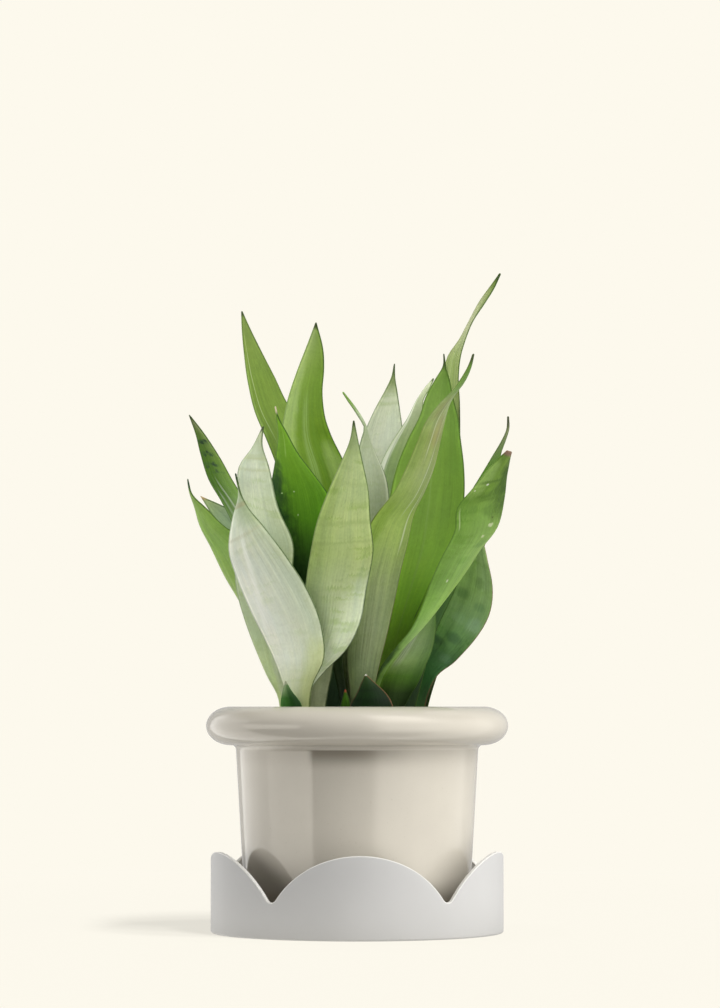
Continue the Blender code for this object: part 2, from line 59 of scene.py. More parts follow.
# Studio: a floor that fades into the backdrop, the lamps with their sizes in degrees and their
# places as azimuth from the camera's side, positive to the right, and height, both in degrees, and
# a disc that glows under the saucer
BACKDROP = (253, 249, 237)
FLOOR_SIZE = 60000.0
FLOOR_FADE = (420.0, 900.0)
FLOOR_SHADE = 0.235  # how much of the floor near the object is lit, and so takes a shadow
FLOOR_ALBEDO = 0.084
SHADOW_LAMPS = ((58.0, 56.7), (38.7, 48.3), (28.1, 40.2))
SHADOW_LIGHT = 33.5  # of all of them together, on the floor
SHADOW_SIZE = 9.0
LEAF_LAMP = (-38.0, 38.0)
LEAF_LIGHT = 2.2
LEAF_LAMP_SIZE = 30.0
BOUNCE_RADIUS = 150.0
BOUNCE_STEPS = 64
BOUNCE_GLOW = 0.7

# Light panels: from one azimuth to another and from one height to another, how soft their sides
# and their ends are, and how bright they are
Panel = namedtuple("Panel", "low high bottom top soft_side soft_end glow")
PANELS = [
    Panel(-95, -44, -14, 11, 1.5, 5.0, 2.55),
    Panel(-150, -95, -90, 30, 1.5, 10.0, 1.75),
    Panel(17, 70, -35, 95, 8.0, 14.0, 1.95),
    Panel(70, 125, -95, 30, 5.0, 14.0, 1.25),
    Panel(20, 80, 30, 72, 24.0, 16.0, 2.45),
    Panel(-182, 182, 50, 95, 1.0, 10.0, 0.55),
    Panel(125, 182, -95, 95, 4.0, 5.0, 0.55),
    Panel(-182, -150, -95, 95, 1.5, 5.0, 0.55),
    Panel(-182, 182, -95, -68, 1.0, 8.0, 1.2),
]

# Saucer, pot and soil, as the frame's solids have them
GAP = 0.3
SHARP_ANGLE = math.radians(50)
SAUCER_RADIUS = 102.0
SAUCER_WALL = 2.8
SAUCER_FLOOR = 3.0
SAUCER_EDGE = 1.6
SAUCER_FILLET = ((0, 1.5), (0.45, 0.45), (1.5, 0))  # in from the wall and up from the floor
RIDGE_ROUND = 0.5
# How far below the ridge the painted highlight on the saucer's cut edge reaches
RIDGE_HIGHLIGHT = 0.85
LOBES = 5
LOBE_TOP = 57.0
LOBE_ARC = 75.0
NOTCH_FILLET = 5.0
SAUCER_TURN = math.radians(1.2)
LOBE_STEPS = 84
EVENLY, CROWDED = 0.45, 0.55  # how far the steps are even, and how far they crowd at the notches

POT_SEGMENTS = 224
POT_FOOT = SAUCER_FLOOR + GAP
POT_TOP = 157.0
BODY_FOOT_RADIUS = 77.5
BODY_TOP_RADIUS = 84.5
BODY_TOP = 126.5
POT_WALL = 7.5
POT_FLOOR = 8.0
FOOT_ROUND = 3.5
FLOOR_FILLET = 5.0
MOUTH_ROUND = 5.5
RIM_RADIUS = 105.4
RIM_HEIGHT = 26.8
RIM_ROLL = 17.0
COVE = 4.0
DRAIN_RADIUS = 8.0

# Painted shade on the glaze: how high and how strong it is, and its colours
FOOT_SHADE = (16.0, 60.0, 42.0)  # full up to here, and gone here at the left and at the right
FOOT_SHADE_SHARE = 0.8
FOOT_SHADE_COLOUR = (0.11, 0.085, 0.05)
NECK_SHADE = (113.0, 127.0, 128.0)  # starts, is full, and ends under the rim
NECK_SHADE_SHARE, NECK_SHADE_MIDDLE = 0.16, 0.48  # all round, and more in the front middle
NECK_SHADE_COLOUR = (0.1, 0.08, 0.05)

SOIL_EDGE = 135.5
SOIL_SHOULDER = 137.8
SOIL_CROWN = 138.5
SHOULDER_REACH = 0.6
SOIL_ROUGHNESS = 1.1
SOIL_SEGMENTS = 120
SOIL_RINGS = 40
CRUMBS, CRUMB_SIZES = 620, (0.7, 3.6)
CHIPS, CHIP_SIZES = 46, (0.7, 1.9)
LUMP_SIDES = 5

# Leaves: margins are stated as they are seen from EYE_AWAY in front, level with the pot's rim
EYE_AWAY = 2500.0
RING_STEP = 4.0
TIP_STEP = 1.5
HALF_STRIPS = 8
AHEAD = 0.01  # a leaf's direction is read this share of its length behind a place and ahead of it
EDGE_THICKNESS = 0.8
BLADE_THICKNESS = 2.2
FOOT_THICKER = 1.8
TIP_THINNER = 1.2
FOOT_CUP = 2.2
TIP_CUP = 0.8
WAVE_SLANT = 1.3
WAVE_FADE = 6.0
POINT = 0.6
GRAIN_STEP = 37.0  # how far apart the fibres of two leaves are in their pattern
FOOT_HEIGHTS = (118, 146)

# Each leaf: its finish, how deep it stands at even steps from base to tip (negative is nearer the
# viewer), how far its right margin swings back behind its middle, how much it bellies towards the
# viewer for its half width, and its edge's waves (height, count). Then its margins: (left, right)
# at FOOT_HEIGHTS, and from there to its tip (left, right, up), with one more number for the right
# margin's own height where the two differ.
Leaf = namedtuple("Leaf", "name tone depth swing cup wave foot grown")
LEAVES = [
    Leaf("leaf_silver_front_left", "silver_leaf", (-34, -50, -72, -92), (0, -5, -6, 0), 0.16, (0.6, 3),
         [(-38, -29), (-46, -33)],
         [(-51, -31, 170, 172), (-57, -23, 187, 190), (-65, -25, 205, 214), (-75, -35, 225, 239),
          (-84, -49, 246, 262), (-90, -66, 270, 284), (-87, -76, 290, 296), (-83, -81, 305, 306),
          (-85.5, -84.5, 320)]),
    Leaf("leaf_sage_front_centre", "sage_leaf", (-24, -44, -66, -82), (0, -2, -2, 0), 0.18, (0.6, 3),
         [(-41, -31), (-42, -33)],
         [(-42, -34, 164, 165), (-40, -23, 182, 181), (-39, -8, 197, 196), (-37.5, 1, 215, 212),
          (-36, 7, 243, 241), (-33, 11.5, 263, 265), (-28, 9.5, 287, 288), (-19, 8, 311, 309),
          (-11, 4.5, 329, 326), (-5, 1, 344, 343), (-2.8, -1.8, 357)]),
    Leaf("leaf_silver_left", "silver_leaf", (-20, -38, -58, -70), (0, -6, -6, 0), 0.14, (0.8, 3),
         [(-53, -45), (-53, -44)],
         [(-55, -45, 164, 163), (-63, -45, 178, 180), (-71, -42, 196, 203), (-79, -43, 219, 225),
          (-85, -45, 243, 250), (-86, -44.5, 275, 272), (-83, -56, 305, 299), (-82, -62, 327, 326),
          (-74, -66, 338, 339), (-66.3, -65.3, 353)]),
    Leaf("leaf_deep_green_centre_left", "deep_green_leaf", (-10, -22, -34, -40), (0, -4, -4, 0), 0.12,
         (0.6, 2), [(-32, -22), (-33, -22)],
         [(-36, -21, 163), (-41, -17, 180, 183), (-49, -14, 208, 213), (-57, -14, 240, 245),
          (-62, -15, 272, 277), (-63, -19, 299, 303), (-59, -29, 320, 318), (-57, -41, 333, 334),
          (-55.5, -49, 347, 349), (-56.7, -55.3, 361), (-57.7, -56.9, 367)]),
    Leaf("leaf_tall_left", "green_leaf", (10, 22, 32, 38), (0, 8, 13, 0), -0.14, (0.6, 3),
         [(-20, -11), (-21, -11)],
         [(-25, -9, 170), (-32, -4, 205, 208), (-40, -5, 245, 252), (-48, -12, 285, 295),
          (-56, -27, 325, 338), (-64, -40, 345, 357), (-72, -49, 363, 370), (-77, -57, 384, 387),
          (-79.5, -67, 405, 406), (-81, -75, 423, 422), (-81.4, -80.4, 434)]),
    Leaf("leaf_tall_centre_left", "green_leaf", (2, 0, -4, -6), (0, 4, 8, 0), -0.14, (0.8, 3),
         [(-9, 1), (-10, 1)],
         [(-14, 4, 170), (-22, 8, 205, 208), (-32, 9, 245, 250), (-42, 2, 285, 292),
          (-50, -8, 320, 325), (-53.5, -19, 348, 349), (-51, -22.5, 364, 361), (-48, -24, 376),
          (-42, -23, 393, 394), (-35, -24, 411, 409), (-29.4, -28.4, 426)]),
    Leaf("leaf_banded_left", "deep_green_leaf", (6, 0, -4, -8), (0, -10, -15, 0), -0.12, (0.5, 2),
         [(-46, -37), (-47, -38)],
         [(-56, -42, 178, 180), (-68, -48, 214, 222), (-77, -57, 248, 258), (-85, -70, 280, 288),
          (-95, -80, 301, 303), (-104, -88, 316), (-110, -96, 334, 331), (-113.5, -107, 348),
          (-118, -117.2, 361)]),
    Leaf("leaf_outer_left", "green_leaf", (-6, -16, -28, -38), (0, -8, -12, 0), 0.12, (0.6, 2),
         [(-49, -40), (-49, -40)],
         [(-57, -41, 172), (-68, -48, 200, 204), (-82, -58, 229, 235), (-93, -70, 249, 262),
          (-103, -82, 270, 276), (-110, -93, 283), (-114, -105, 296, 295.5), (-117, -115.5, 306),
          (-119, -118.2, 316)]),
    Leaf("leaf_blue_left", "blue_green_leaf", (14, 18, 20, 20), (0, -4, -3, 0), -0.12, (0.6, 2),
         [(-36, -27), (-38, -28)],
         [(-48, -34, 178, 182), (-62, -46, 214, 224), (-76, -60, 246, 262), (-90, -78, 272, 288),
          (-103, -95, 293, 298), (-109.7, -109, 304)]),
    Leaf("leaf_curled_tip_centre", "silver_leaf", (-8, -16, -26, -34), (0, 5, 8, 0), 0.14, (0.6, 3),
         [(-10, -2), (-10, -1)],
         [(-8, 3, 168), (-10, 8, 185, 186), (-11, 14, 215, 216), (-10, 19, 250), (-8, 22.5, 290),
          (-5, 19.5, 320), (0, 12.5, 336), (3, 8.5, 346), (4.8, 6.6, 352), (1.4, 3, 359, 360),
          (-2.6, -1.2, 365.3, 366.5), (-7.2, -6, 371.8, 373), (-10.3, -9.5, 376.7, 377.5)]),
    Leaf("leaf_olive_twisted", "olive_leaf", (-22, -36, -52, -62), (0, 2, 3, 8, 16, 13, 1), 0.1,
         (0.6, 3), [(-1, 9), (-3, 10)],
         [(-5, 12, 168), (-7, 16, 187), (-6.5, 20.5, 205), (-5, 26, 228, 230), (-2, 31, 250, 253),
          (3, 36, 270, 272), (11, 40, 288, 291), (27, 47, 308, 307), (35, 53.5, 325, 324),
          (42, 59, 343, 345), (49, 63, 359, 361), (58, 65.5, 370), (66, 69, 377.5, 377),
          (72, 75, 385.5, 384.5), (78, 80, 396, 395.5), (81, 82, 404)]),
    Leaf("leaf_pale_back", "silver_leaf", (26, 44, 60, 72), (0, 5, 8, 0), -0.12, (0.6, 3),
         [(6, 15), (5, 15)],
         [(2, 18, 175), (-2, 22, 215), (-5, 26, 255), (-6, 30, 290, 292), (-2, 34, 325, 328),
          (4, 32, 347, 352), (12, 30, 365, 366), (20, 28, 379.5, 379), (24, 26.7, 388, 387),
          (25.7, 26.5, 397)]),
    Leaf("leaf_arched_back", "sage_leaf", (18, 32, 44, 50), (0, -6, -8, 0), -0.12, (0.5, 3),
         [(17, 26), (16, 26)],
         [(13, 28, 180), (10, 34, 220, 222), (9, 40, 260, 262), (10, 46, 295, 298), (17, 50, 328, 325),
          (26, 50, 345), (34.5, 47, 358, 357), (42, 46.5, 373, 372), (48, 51, 381.5, 380),
          (53, 53.8, 387, 386.4)]),
    Leaf("leaf_broad_green_right", "green_leaf", (6, 18, 26, 30), (0, -3, -4, 0), -0.14, (0.8, 3),
         [(13, 23), (13, 24)],
         [(12, 28, 172), (12, 38, 200, 205), (14, 54, 235, 236), (18, 69, 270, 268), (22, 75, 300),
          (28, 75, 326, 325), (36, 72.5, 345), (44, 70.5, 361), (47.5, 67.5, 373),
          (54, 65, 385.5, 386), (60, 62.2, 396), (60.4, 61.2, 404)]),
    Leaf("leaf_tallest_right", "sage_leaf", (28, 42, 54, 62), (0, -3, -7, -7, -1), -0.1, (0.5, 3),
         [(24, 33), (24, 34)],
         [(26, 40, 180), (30, 52, 220, 222), (36, 64, 262, 264), (42, 71, 305), (48, 72.5, 345, 344),
          (55, 72.3, 370), (60, 71.2, 388), (64, 72.5, 403), (71.5, 75.5, 414), (78.6, 80.8, 428, 427),
          (86, 90, 442, 440.5), (94, 96.5, 453, 451), (99.8, 100.6, 461, 460.3)]),
    Leaf("leaf_scarred_right", "green_leaf", (-8, -26, -46, -62), (1, 5, 12, 6), 0.14, (0.8, 3),
         [(3, 10), (4, 11)],
         [(9, 13, 166, 165), (15, 17.5, 181, 179.5), (25, 29, 195, 196), (36, 44, 209, 211),
          (45.5, 61, 229, 230), (52, 75, 245, 249), (60, 86, 262, 267), (68, 99, 280, 284),
          (70, 104, 297, 304), (82, 105.3, 311, 318), (96, 106.6, 328, 327), (105, 108, 336.5, 335.5)]),
    Leaf("leaf_hooked_right", "green_leaf", (4, 3, -2, -8), (0, 5, 8, 1), -0.12, (0.5, 2),
         [(30, 38), (30, 39)],
         [(34, 46, 176), (41, 55, 206, 208), (52, 68, 236, 238), (64, 80, 266, 268), (72, 91, 290),
          (78, 97, 305, 306), (86, 100, 318, 319), (94, 101, 330.5, 334), (101, 104, 342, 343),
          (105, 106.6, 351, 352), (105.6, 106.4, 360)]),
    Leaf("leaf_dark_outer_right", "blue_green_leaf", (12, 10, 10, 12), (0, -5, -6, 0), -0.12, (1.4, 4),
         [(34, 44), (34, 45)],
         [(35, 50, 166, 165), (38, 57, 187, 180), (44, 69, 208, 189), (50, 83, 226, 204),
          (57, 93, 243, 224), (64, 95, 259, 243), (70, 91, 273, 261), (77, 87.5, 287, 276),
          (83, 84.5, 300, 299.5)]),
    Leaf("leaf_short_right", "green_leaf", (-4, -6, -8, -10), (0, 2, 3, 0), 0.14, (0.6, 2),
         [(17, 27), (16, 29)],
         [(14.5, 37.5, 165), (14, 43, 177, 174), (17.5, 48, 185, 186), (24, 52, 193, 195),
          (32, 54.5, 203, 205), (40, 55.5, 213, 214), (48, 55, 224, 223), (54, 55, 235, 234.5)]),
    Leaf("young_leaf_front_left", "deep_green_leaf", (-48, -55, -60), (0, 0, 0), 0.25, (0, 1),
         [(-50, -42), (-51, -41)],
         [(-53.5, -38.5, 158), (-52, -46, 168, 168.5), (-50.2, -49.5, 174.5)]),
    Leaf("young_leaf_front_centre", "deep_green_leaf", (-40, -44, -46), (0, 0, 0), 0.25, (0, 1),
         [(0, 14), (-3, 21)],
         [(-5, 25, 158), (-1, 21, 165, 165.5), (3.5, 10.5, 175, 175.5), (5.7, 6.4, 179.3)]),
    Leaf("young_leaf_small_centre", "green_leaf", (-34, -36, -38), (0, 0, 0), 0.25, (0, 1),
         [(-12, -6), (-12, -5)],
         [(-11.5, -4.5, 158), (-8.7, -7.8, 168.5)]),
    Leaf("leaf_rear_left", "green_leaf", (38, 62, 80, 90), (0, 1, 2, 0), -0.16, (0.6, 3),
         [(-30, -21), (-31, -21)],
         [(-37, -16, 185), (-45, -10, 230, 232), (-50, -10, 280, 282), (-49, -16, 320, 322),
          (-47, -24, 350, 352), (-43, -30, 370, 371), (-38.5, -37.5, 384)]),
    Leaf("leaf_rear_centre", "sage_leaf", (44, 68, 88, 98), (0, -3, -4, 0), -0.16, (0.6, 3),
         [(0, 9), (0, 10)],
         [(-3, 18, 185), (-6, 26, 230), (-8, 30, 275), (-5, 30, 310, 312), (2, 28, 335, 338),
          (10, 26, 354, 356), (19, 20, 372)]),
    Leaf("leaf_rear_right", "silver_leaf", (36, 50, 68, 82), (0, -6, -10, 0), -0.16, (0.7, 3),
         [(16, 25), (16, 26)],
         [(16, 36, 185, 184), (20, 48, 230, 228), (26, 60, 275, 272), (34, 66, 315, 312),
          (45, 68, 345), (55, 67, 368, 369), (62.5, 63.5, 388)]),
    Leaf("leaf_rear_far_left", "silver_leaf", (24, 38, 48, 56), (0, 6, 9, 0), -0.16, (0.6, 2),
         [(-40, -31), (-41, -32)],
         [(-52, -32, 185, 188), (-64, -36, 225, 230), (-74, -42, 262, 268), (-78, -52, 290, 296),
          (-76, -62, 308, 311), (-71, -70, 324)]),
    Leaf("leaf_rear_far_right", "green_leaf", (28, 44, 56, 64), (0, -10, -14, 0), -0.16, (0.6, 2),
         [(38, 46), (38, 47)],
         [(43, 55, 180, 178), (55, 70, 215, 211), (65, 82, 245, 240), (72, 88, 272, 267),
          (80, 96, 294, 292), (88, 97, 309, 308), (94, 95, 319)]),
    Leaf("leaf_rear_centre_left", "deep_green_leaf", (48, 76, 96, 106), (0, 3, 4, 0), -0.16, (0.6, 3),
         [(-17, -8), (-17, -8)],
         [(-26, -9, 185, 188), (-37, -14, 230, 238), (-46, -20, 275, 282), (-54, -32, 312, 320),
          (-60, -44, 340, 347), (-62, -55, 358, 362), (-62.5, -61.5, 374)]),
    Leaf("young_leaf_rear", "green_leaf", (57, 72, 84), (0, 0, 0), -0.25, (0, 1),
         [(4, 12), (3, 13)],
         [(0, 15, 165), (1, 13, 185), (5, 9, 205), (6.6, 7.4, 214)]),
]

# Looks: tones are (share of the way up, red, green, blue) as the leaf shows in soft light. fibre
# and bands are how strongly the fine lines along the leaf and the faint bands across it show. left
# and right are how much lighter each side is in red, green and blue, which carries painted light
# and shade on that side as well as the side's own colour. margin is the edge line's colour and
# width, and tip is the point's colour and length. Of the marks, a streak goes from start to end,
# both (across, up), a spot or a soft wash is at (across, up) and is wide and long in millimetres,
# and a band is at up, with its height in millimetres and its span across. Some washes and streaks
# are painted shadows and painted highlights, as noted at their leaves. All other places and widths
# are shares of the leaf's.
EVEN = (1.0, 1.0, 1.0)
DARK_EDGE = ((56, 82, 26), 0.85)
PALE_GREEN_EDGE = ((112, 132, 80), 0.5)
BROWN_EDGE = ((86, 74, 42), 0.65)
DARK_TIP = ((48, 62, 30), 5.0)
SMALL_TIP = ((70, 84, 40), 3.0)
Look = namedtuple("Look", "tones fibre bands left right margin tip marks",
                  defaults=[EVEN, EVEN, DARK_EDGE, DARK_TIP, []])
Streak = namedtuple("Streak", "start end width colour strength")
Spot = namedtuple("Spot", "across up wide long colour")
Wash = namedtuple("Wash", "across up wide long colour strength")
Band = namedtuple("Band", "up height colour strength span", defaults=[(-0.5, 1.5)])

LOOKS = {
    "leaf_silver_front_left": Look(
        [(0.2, 158, 168, 122), (0.36, 207, 213, 193), (0.62, 204, 210, 192), (0.78, 196, 202, 182),
         (0.9, 181, 193, 163), (0.97, 134, 150, 108)],
        # Its left side's lighter tint, its first wash and its two pale streaks are painted highlights, and
        # its right side's darker tint is painted shade
        0.2, 0.45, (1.15, 1.13, 1.18), (0.66, 0.7, 0.6), tip=((46, 66, 38), 8.0), marks=[
            Wash(0.2, 0.55, 7, 44, (228, 229, 218), 0.5), Wash(0.86, 0.3, 10, 30, (188, 198, 134), 0.55),
            Wash(0.95, 0.9, 8, 22, (146, 160, 122), 0.6),
            Streak((0.12, 0.46), (0.43, 0.8), 0.05, (232, 234, 222), 0.7),
            Streak((0.04, 0.5), (0.09, 0.86), 0.05, (228, 231, 216), 0.6),
            Band(0.895, 2.2, (150, 138, 104), 0.45), Band(0.8, 2, (170, 168, 138), 0.35)]),
    "leaf_sage_front_centre": Look(
        [(0.3, 179, 194, 156), (0.5, 166, 179, 137), (0.62, 162, 177, 114), (0.74, 164, 179, 120),
         (0.88, 158, 172, 121), (0.98, 120, 136, 90)],
        0.48, 1.0, (0.76, 0.82, 0.66), (0.9, 0.92, 0.9), marks=[
            Wash(0.97, 0.36, 18, 54, (209, 220, 192), 0.72), Wash(0.1, 0.76, 9, 24, (132, 152, 82), 0.45),
            Band(0.82, 3, (138, 154, 96), 0.4), Band(0.707, 3.2, (132, 150, 88), 0.45),
            Band(0.652, 2.2, (134, 151, 90), 0.45), Band(0.91, 3, (140, 157, 98), 0.4)]),
    "leaf_silver_left": Look(
        [(0.2, 172, 190, 128), (0.4, 176, 190, 150), (0.72, 188, 198, 169), (0.88, 197, 205, 182),
         (0.97, 170, 179, 144)],
        0.36, 0.8, (0.86, 0.89, 0.85), (0.69, 0.72, 0.65), marks=[
            Wash(0.6, 0.32, 7, 50, (182, 192, 166), 0.6),
            Band(0.905, 3, (158, 166, 124), 0.6), Band(0.87, 2, (166, 174, 134), 0.5)]),
    "leaf_deep_green_centre_left": Look(
        # Its dark tones at 0.36 and 0.55 and the two dark washes on its left are painted shadow cast by
        # leaf_silver_left
        [(0.2, 176, 184, 144), (0.36, 60, 88, 40), (0.55, 48, 80, 32), (0.68, 84, 134, 30),
         (0.8, 90, 134, 28), (0.9, 98, 137, 38), (0.97, 102, 142, 38)],
        0.45, 0.15, (0.95, 0.95, 0.95), (0.9, 0.93, 0.9), ((36, 66, 20), 0.8), ((205, 192, 164), 6.0), [
            Wash(0, 0.56, 27, 88, (18, 44, 24), 0.95), Wash(0, 0.7, 18, 46, (26, 54, 24), 0.8),
            Streak((0.45, 0.86), (0.62, 0.93), 0.03, (140, 170, 90), 0.5),
            Spot(0.248, 0.754, 0.8, 0.5, (150, 178, 118)), Spot(0.46, 0.757, 0.6, 0.6, (168, 190, 138)),
            Spot(0.484, 0.692, 0.5, 1, (160, 184, 126))]),
    "leaf_tall_left": Look(
        [(0.15, 72, 100, 70), (0.4, 94, 124, 50), (0.6, 105, 134, 54), (0.85, 110, 136, 54),
         (0.97, 106, 126, 60)],
        0.6, 0.25, EVEN, (1.05, 1.04, 1.08), marks=[
            # The first streak is a painted highlight along the leaf's fold
            Streak((0.171, 0.95), (0.24, 0.727), 0.014, (172, 188, 132), 0.9),
            Streak((0.05, 0.9), (0.04, 0.74), 0.05, (134, 160, 88), 0.5)]),
    "leaf_tall_centre_left": Look(
        [(0.15, 46, 62, 38), (0.4, 84, 116, 36), (0.6, 95, 129, 34), (0.75, 95, 127, 32),
         (0.87, 112, 142, 55), (0.97, 118, 140, 74)],
        0.55, 0.3, (1.3, 1.2, 1.6), (0.88, 0.93, 0.72), tip=((46, 58, 28), 6.0), marks=[
            # The two pale washes and the pale streak are painted sheen
            Wash(0.08, 0.8, 10, 60, (158, 181, 112), 0.7), Wash(0.85, 0.66, 8, 28, (148, 173, 98), 0.6),
            Streak((0.551, 0.83), (0.5, 0.62), 0.07, (150, 175, 108), 0.4),
            Streak((0.7, 0.8), (0.66, 0.6), 0.03, (92, 128, 38), 0.5)]),
    "leaf_banded_left": Look(
        [(0.4, 148, 164, 130), (0.66, 134, 154, 110), (0.76, 92, 130, 42), (0.86, 84, 118, 34),
         (0.94, 92, 118, 50), (0.98, 110, 118, 80)],
        0.4, 0.5, (0.62, 0.74, 0.5), (1.6, 1.42, 1.8), marks=[
            Band(0.918, 2.6, (44, 74, 38), 0.7, (-0.5, 0.8)), Band(0.88, 2, (52, 84, 38), 0.6, (0.1, 0.7)),
            Band(0.848, 2.2, (56, 88, 40), 0.6, (-0.5, 0.7)),
            Band(0.826, 1.6, (58, 90, 40), 0.5, (0.2, 0.9)),
            Spot(0.3, 0.914, 2, 1.6, (24, 50, 30)), Spot(0.61, 0.922, 1.8, 1, (30, 54, 30)),
            Spot(0.38, 0.885, 1.3, 1.2, (20, 46, 30)), Spot(0.2, 0.874, 1.6, 1.2, (40, 70, 34)),
            Spot(0.52, 0.877, 2, 1.3, (30, 58, 34)), Spot(0.48, 0.849, 2.6, 2, (28, 54, 34)),
            Spot(0.16, 0.84, 2, 1.2, (48, 78, 36)), Spot(0.47, 0.83, 1.6, 1.6, (52, 80, 36)),
            Streak((0.28, 0.8), (0.42, 0.66), 0.035, (172, 182, 160), 0.7),
            Streak((0.12, 0.77), (0.2, 0.66), 0.03, (164, 176, 150), 0.6)]),
    "leaf_outer_left": Look(
        [(0.3, 150, 168, 116), (0.55, 142, 165, 98), (0.77, 138, 175, 86), (0.88, 133, 166, 80),
         (0.96, 128, 156, 80)],
        0.5, 0.3, (0.94, 0.95, 0.8), (0.9, 0.91, 0.86), tip=((52, 72, 52), 10.0), marks=[
            Streak((0.06, 0.5), (0.06, 0.9), 0.03, (160, 184, 112), 0.6)]),
    "leaf_blue_left": Look(
        [(0.5, 138, 163, 126), (0.9, 146, 168, 130), (0.98, 158, 177, 122)],
        0.4, 0.3, (0.96, 0.97, 0.94), (1.06, 1.03, 1.06), tip=((176, 150, 108), 5.0)),
    "leaf_curled_tip_centre": Look(
        [(0.2, 108, 122, 88), (0.55, 154, 166, 134), (0.8, 170, 179, 154), (0.9, 152, 166, 134)],
        0.5, 0.4, (0.96, 0.97, 0.94), tip=((104, 136, 56), 22.0), marks=[
            Streak((0.93, 0.6), (0.93, 0.84), 0.03, (204, 210, 188), 0.6)]),
    "leaf_olive_twisted": Look(
        [(0.2, 101, 114, 79), (0.31, 130, 143, 105), (0.42, 141, 156, 107), (0.52, 150, 172, 96),
         (0.6, 154, 179, 92), (0.69, 153, 169, 108), (0.78, 134, 148, 82), (0.87, 158, 174, 122),
         (0.92, 112, 144, 72), (0.98, 82, 116, 42)],
        0.7, 0.35, (0.86, 0.92, 0.74), (0.9, 0.93, 0.82), BROWN_EDGE, ((58, 68, 34), 9.0), [
            Wash(0.15, 0.56, 7, 22, (136, 168, 64), 0.6), Wash(0.6, 0.8, 9, 16, (150, 140, 96), 0.5),
            Wash(0.3, 0.86, 8, 14, (128, 128, 74), 0.5), Wash(0.1, 0.74, 8, 26, (118, 142, 68), 0.5),
            Streak((0.42, 0.74), (0.44, 0.92), 0.02, (200, 208, 172), 0.8),
            Streak((0.6, 0.6), (0.76, 0.84), 0.02, (202, 209, 174), 0.75),
            Streak((0.9, 0.6), (0.92, 0.72), 0.02, (196, 205, 168), 0.7),
            Streak((0.8, 0.5), (0.84, 0.66), 0.02, (204, 212, 178), 0.7)]),
    "leaf_pale_back": Look(
        [(0.3, 160, 172, 138), (0.82, 193, 199, 178), (0.91, 184, 192, 168), (0.95, 124, 138, 95),
         (0.985, 88, 104, 58)],
        0.35, 0.7, (0.97, 0.99, 0.95), (0.98, 0.99, 0.94), tip=((60, 76, 44), 9.0), marks=[
            Band(0.9, 2.6, (160, 170, 130), 0.5), Band(0.93, 2, (150, 160, 120), 0.4)]),
    "leaf_arched_back": Look(
        [(0.3, 112, 138, 84), (0.6, 128, 154, 96), (0.8, 138, 161, 104), (0.9, 160, 172, 132),
         (0.985, 186, 194, 160)],
        0.5, 0.3, (1.04, 1.03, 1.05), (0.9, 0.92, 0.86), PALE_GREEN_EDGE, SMALL_TIP, [
            # The pale streak along the left margin is a painted highlight
            Streak((0.06, 0.72), (0.08, 0.97), 0.06, (228, 232, 214), 0.9)]),
    "leaf_broad_green_right": Look(
        [(0.25, 110, 148, 46), (0.4, 130, 181, 52), (0.5, 129, 171, 60), (0.6, 113, 148, 57),
         (0.76, 105, 138, 54), (0.87, 107, 138, 62), (0.97, 96, 126, 54)],
        0.38, 0.3, EVEN, (0.84, 0.9, 0.7), tip=((46, 58, 26), 14.0), marks=[
            Streak((0.849, 0.343), (0.851, 0.441), 0.02, (48, 70, 24), 0.8),
            Streak((0.55, 0.3), (0.5, 0.9), 0.02, (128, 154, 82), 0.3)]),
    "leaf_tallest_right": Look(
        [(0.3, 104, 128, 72), (0.6, 130, 150, 84), (0.8, 134, 153, 88), (0.88, 157, 164, 124),
         (0.94, 150, 160, 112), (0.975, 92, 112, 52)],
        0.75, 0.3, (1.04, 1.0, 1.06), (1.02, 1.0, 1.02), tip=((46, 66, 24), 9.0), marks=[
            Wash(0.9, 0.95, 3, 22, (96, 116, 54), 0.6),
            Streak((0.4, 0.6), (0.4, 0.86), 0.05, (166, 184, 118), 0.6),
            Streak((0.62, 0.62), (0.6, 0.84), 0.03, (118, 140, 66), 0.6)]),
    "leaf_scarred_right": Look(
        [(0.25, 90, 120, 54), (0.31, 132, 168, 86), (0.4, 156, 192, 116), (0.5, 147, 188, 94),
         (0.6, 127, 163, 82), (0.7, 132, 167, 86), (0.78, 117, 151, 70), (0.88, 104, 138, 52),
         (0.97, 104, 133, 50)],
        0.5, 0.9, (0.64, 0.72, 0.55), (1.04, 1.0, 1.04), tip=((128, 98, 84), 4.5), marks=[
            # The narrow dark wash at the left of the foot is painted shade
            Wash(0.1, 0.92, 9, 18, (138, 168, 90), 0.7), Wash(1, 0.9, 16, 42, (52, 80, 22), 0.9),
            Wash(0, 0.3, 3, 24, (40, 60, 32), 0.9), Wash(0.45, 0.86, 8, 5, (80, 110, 40), 0.6),
            Wash(0.62, 0.81, 7, 6, (84, 116, 46), 0.6), Wash(0.3, 0.82, 6, 4, (90, 124, 50), 0.6),
            Wash(0.75, 0.71, 7, 5, (102, 140, 70), 0.5), Wash(0.5, 0.66, 8, 4, (106, 146, 62), 0.5),
            Band(0.905, 1.8, (66, 94, 30), 0.6, (0.1, 0.9)),
            Band(0.845, 1.6, (80, 110, 38), 0.5, (0.3, 1.2)),
            Spot(0.312, 0.9, 1, 0.8, (214, 216, 200)), Spot(0.1, 0.885, 0.7, 0.8, (196, 200, 168)),
            Streak((0.06, 0.825), (0.08, 0.762), 0.012, (180, 192, 142), 0.55),
            Spot(0.736, 0.767, 2.6, 1.6, (186, 196, 152)), Spot(0.657, 0.737, 1.8, 1.3, (188, 198, 152)),
            Spot(0.74, 0.787, 0.9, 0.9, (66, 72, 34)), Spot(0.379, 0.594, 0.8, 1.4, (198, 206, 176)),
            Spot(0.9, 0.539, 0.8, 1.2, (196, 204, 172))]),
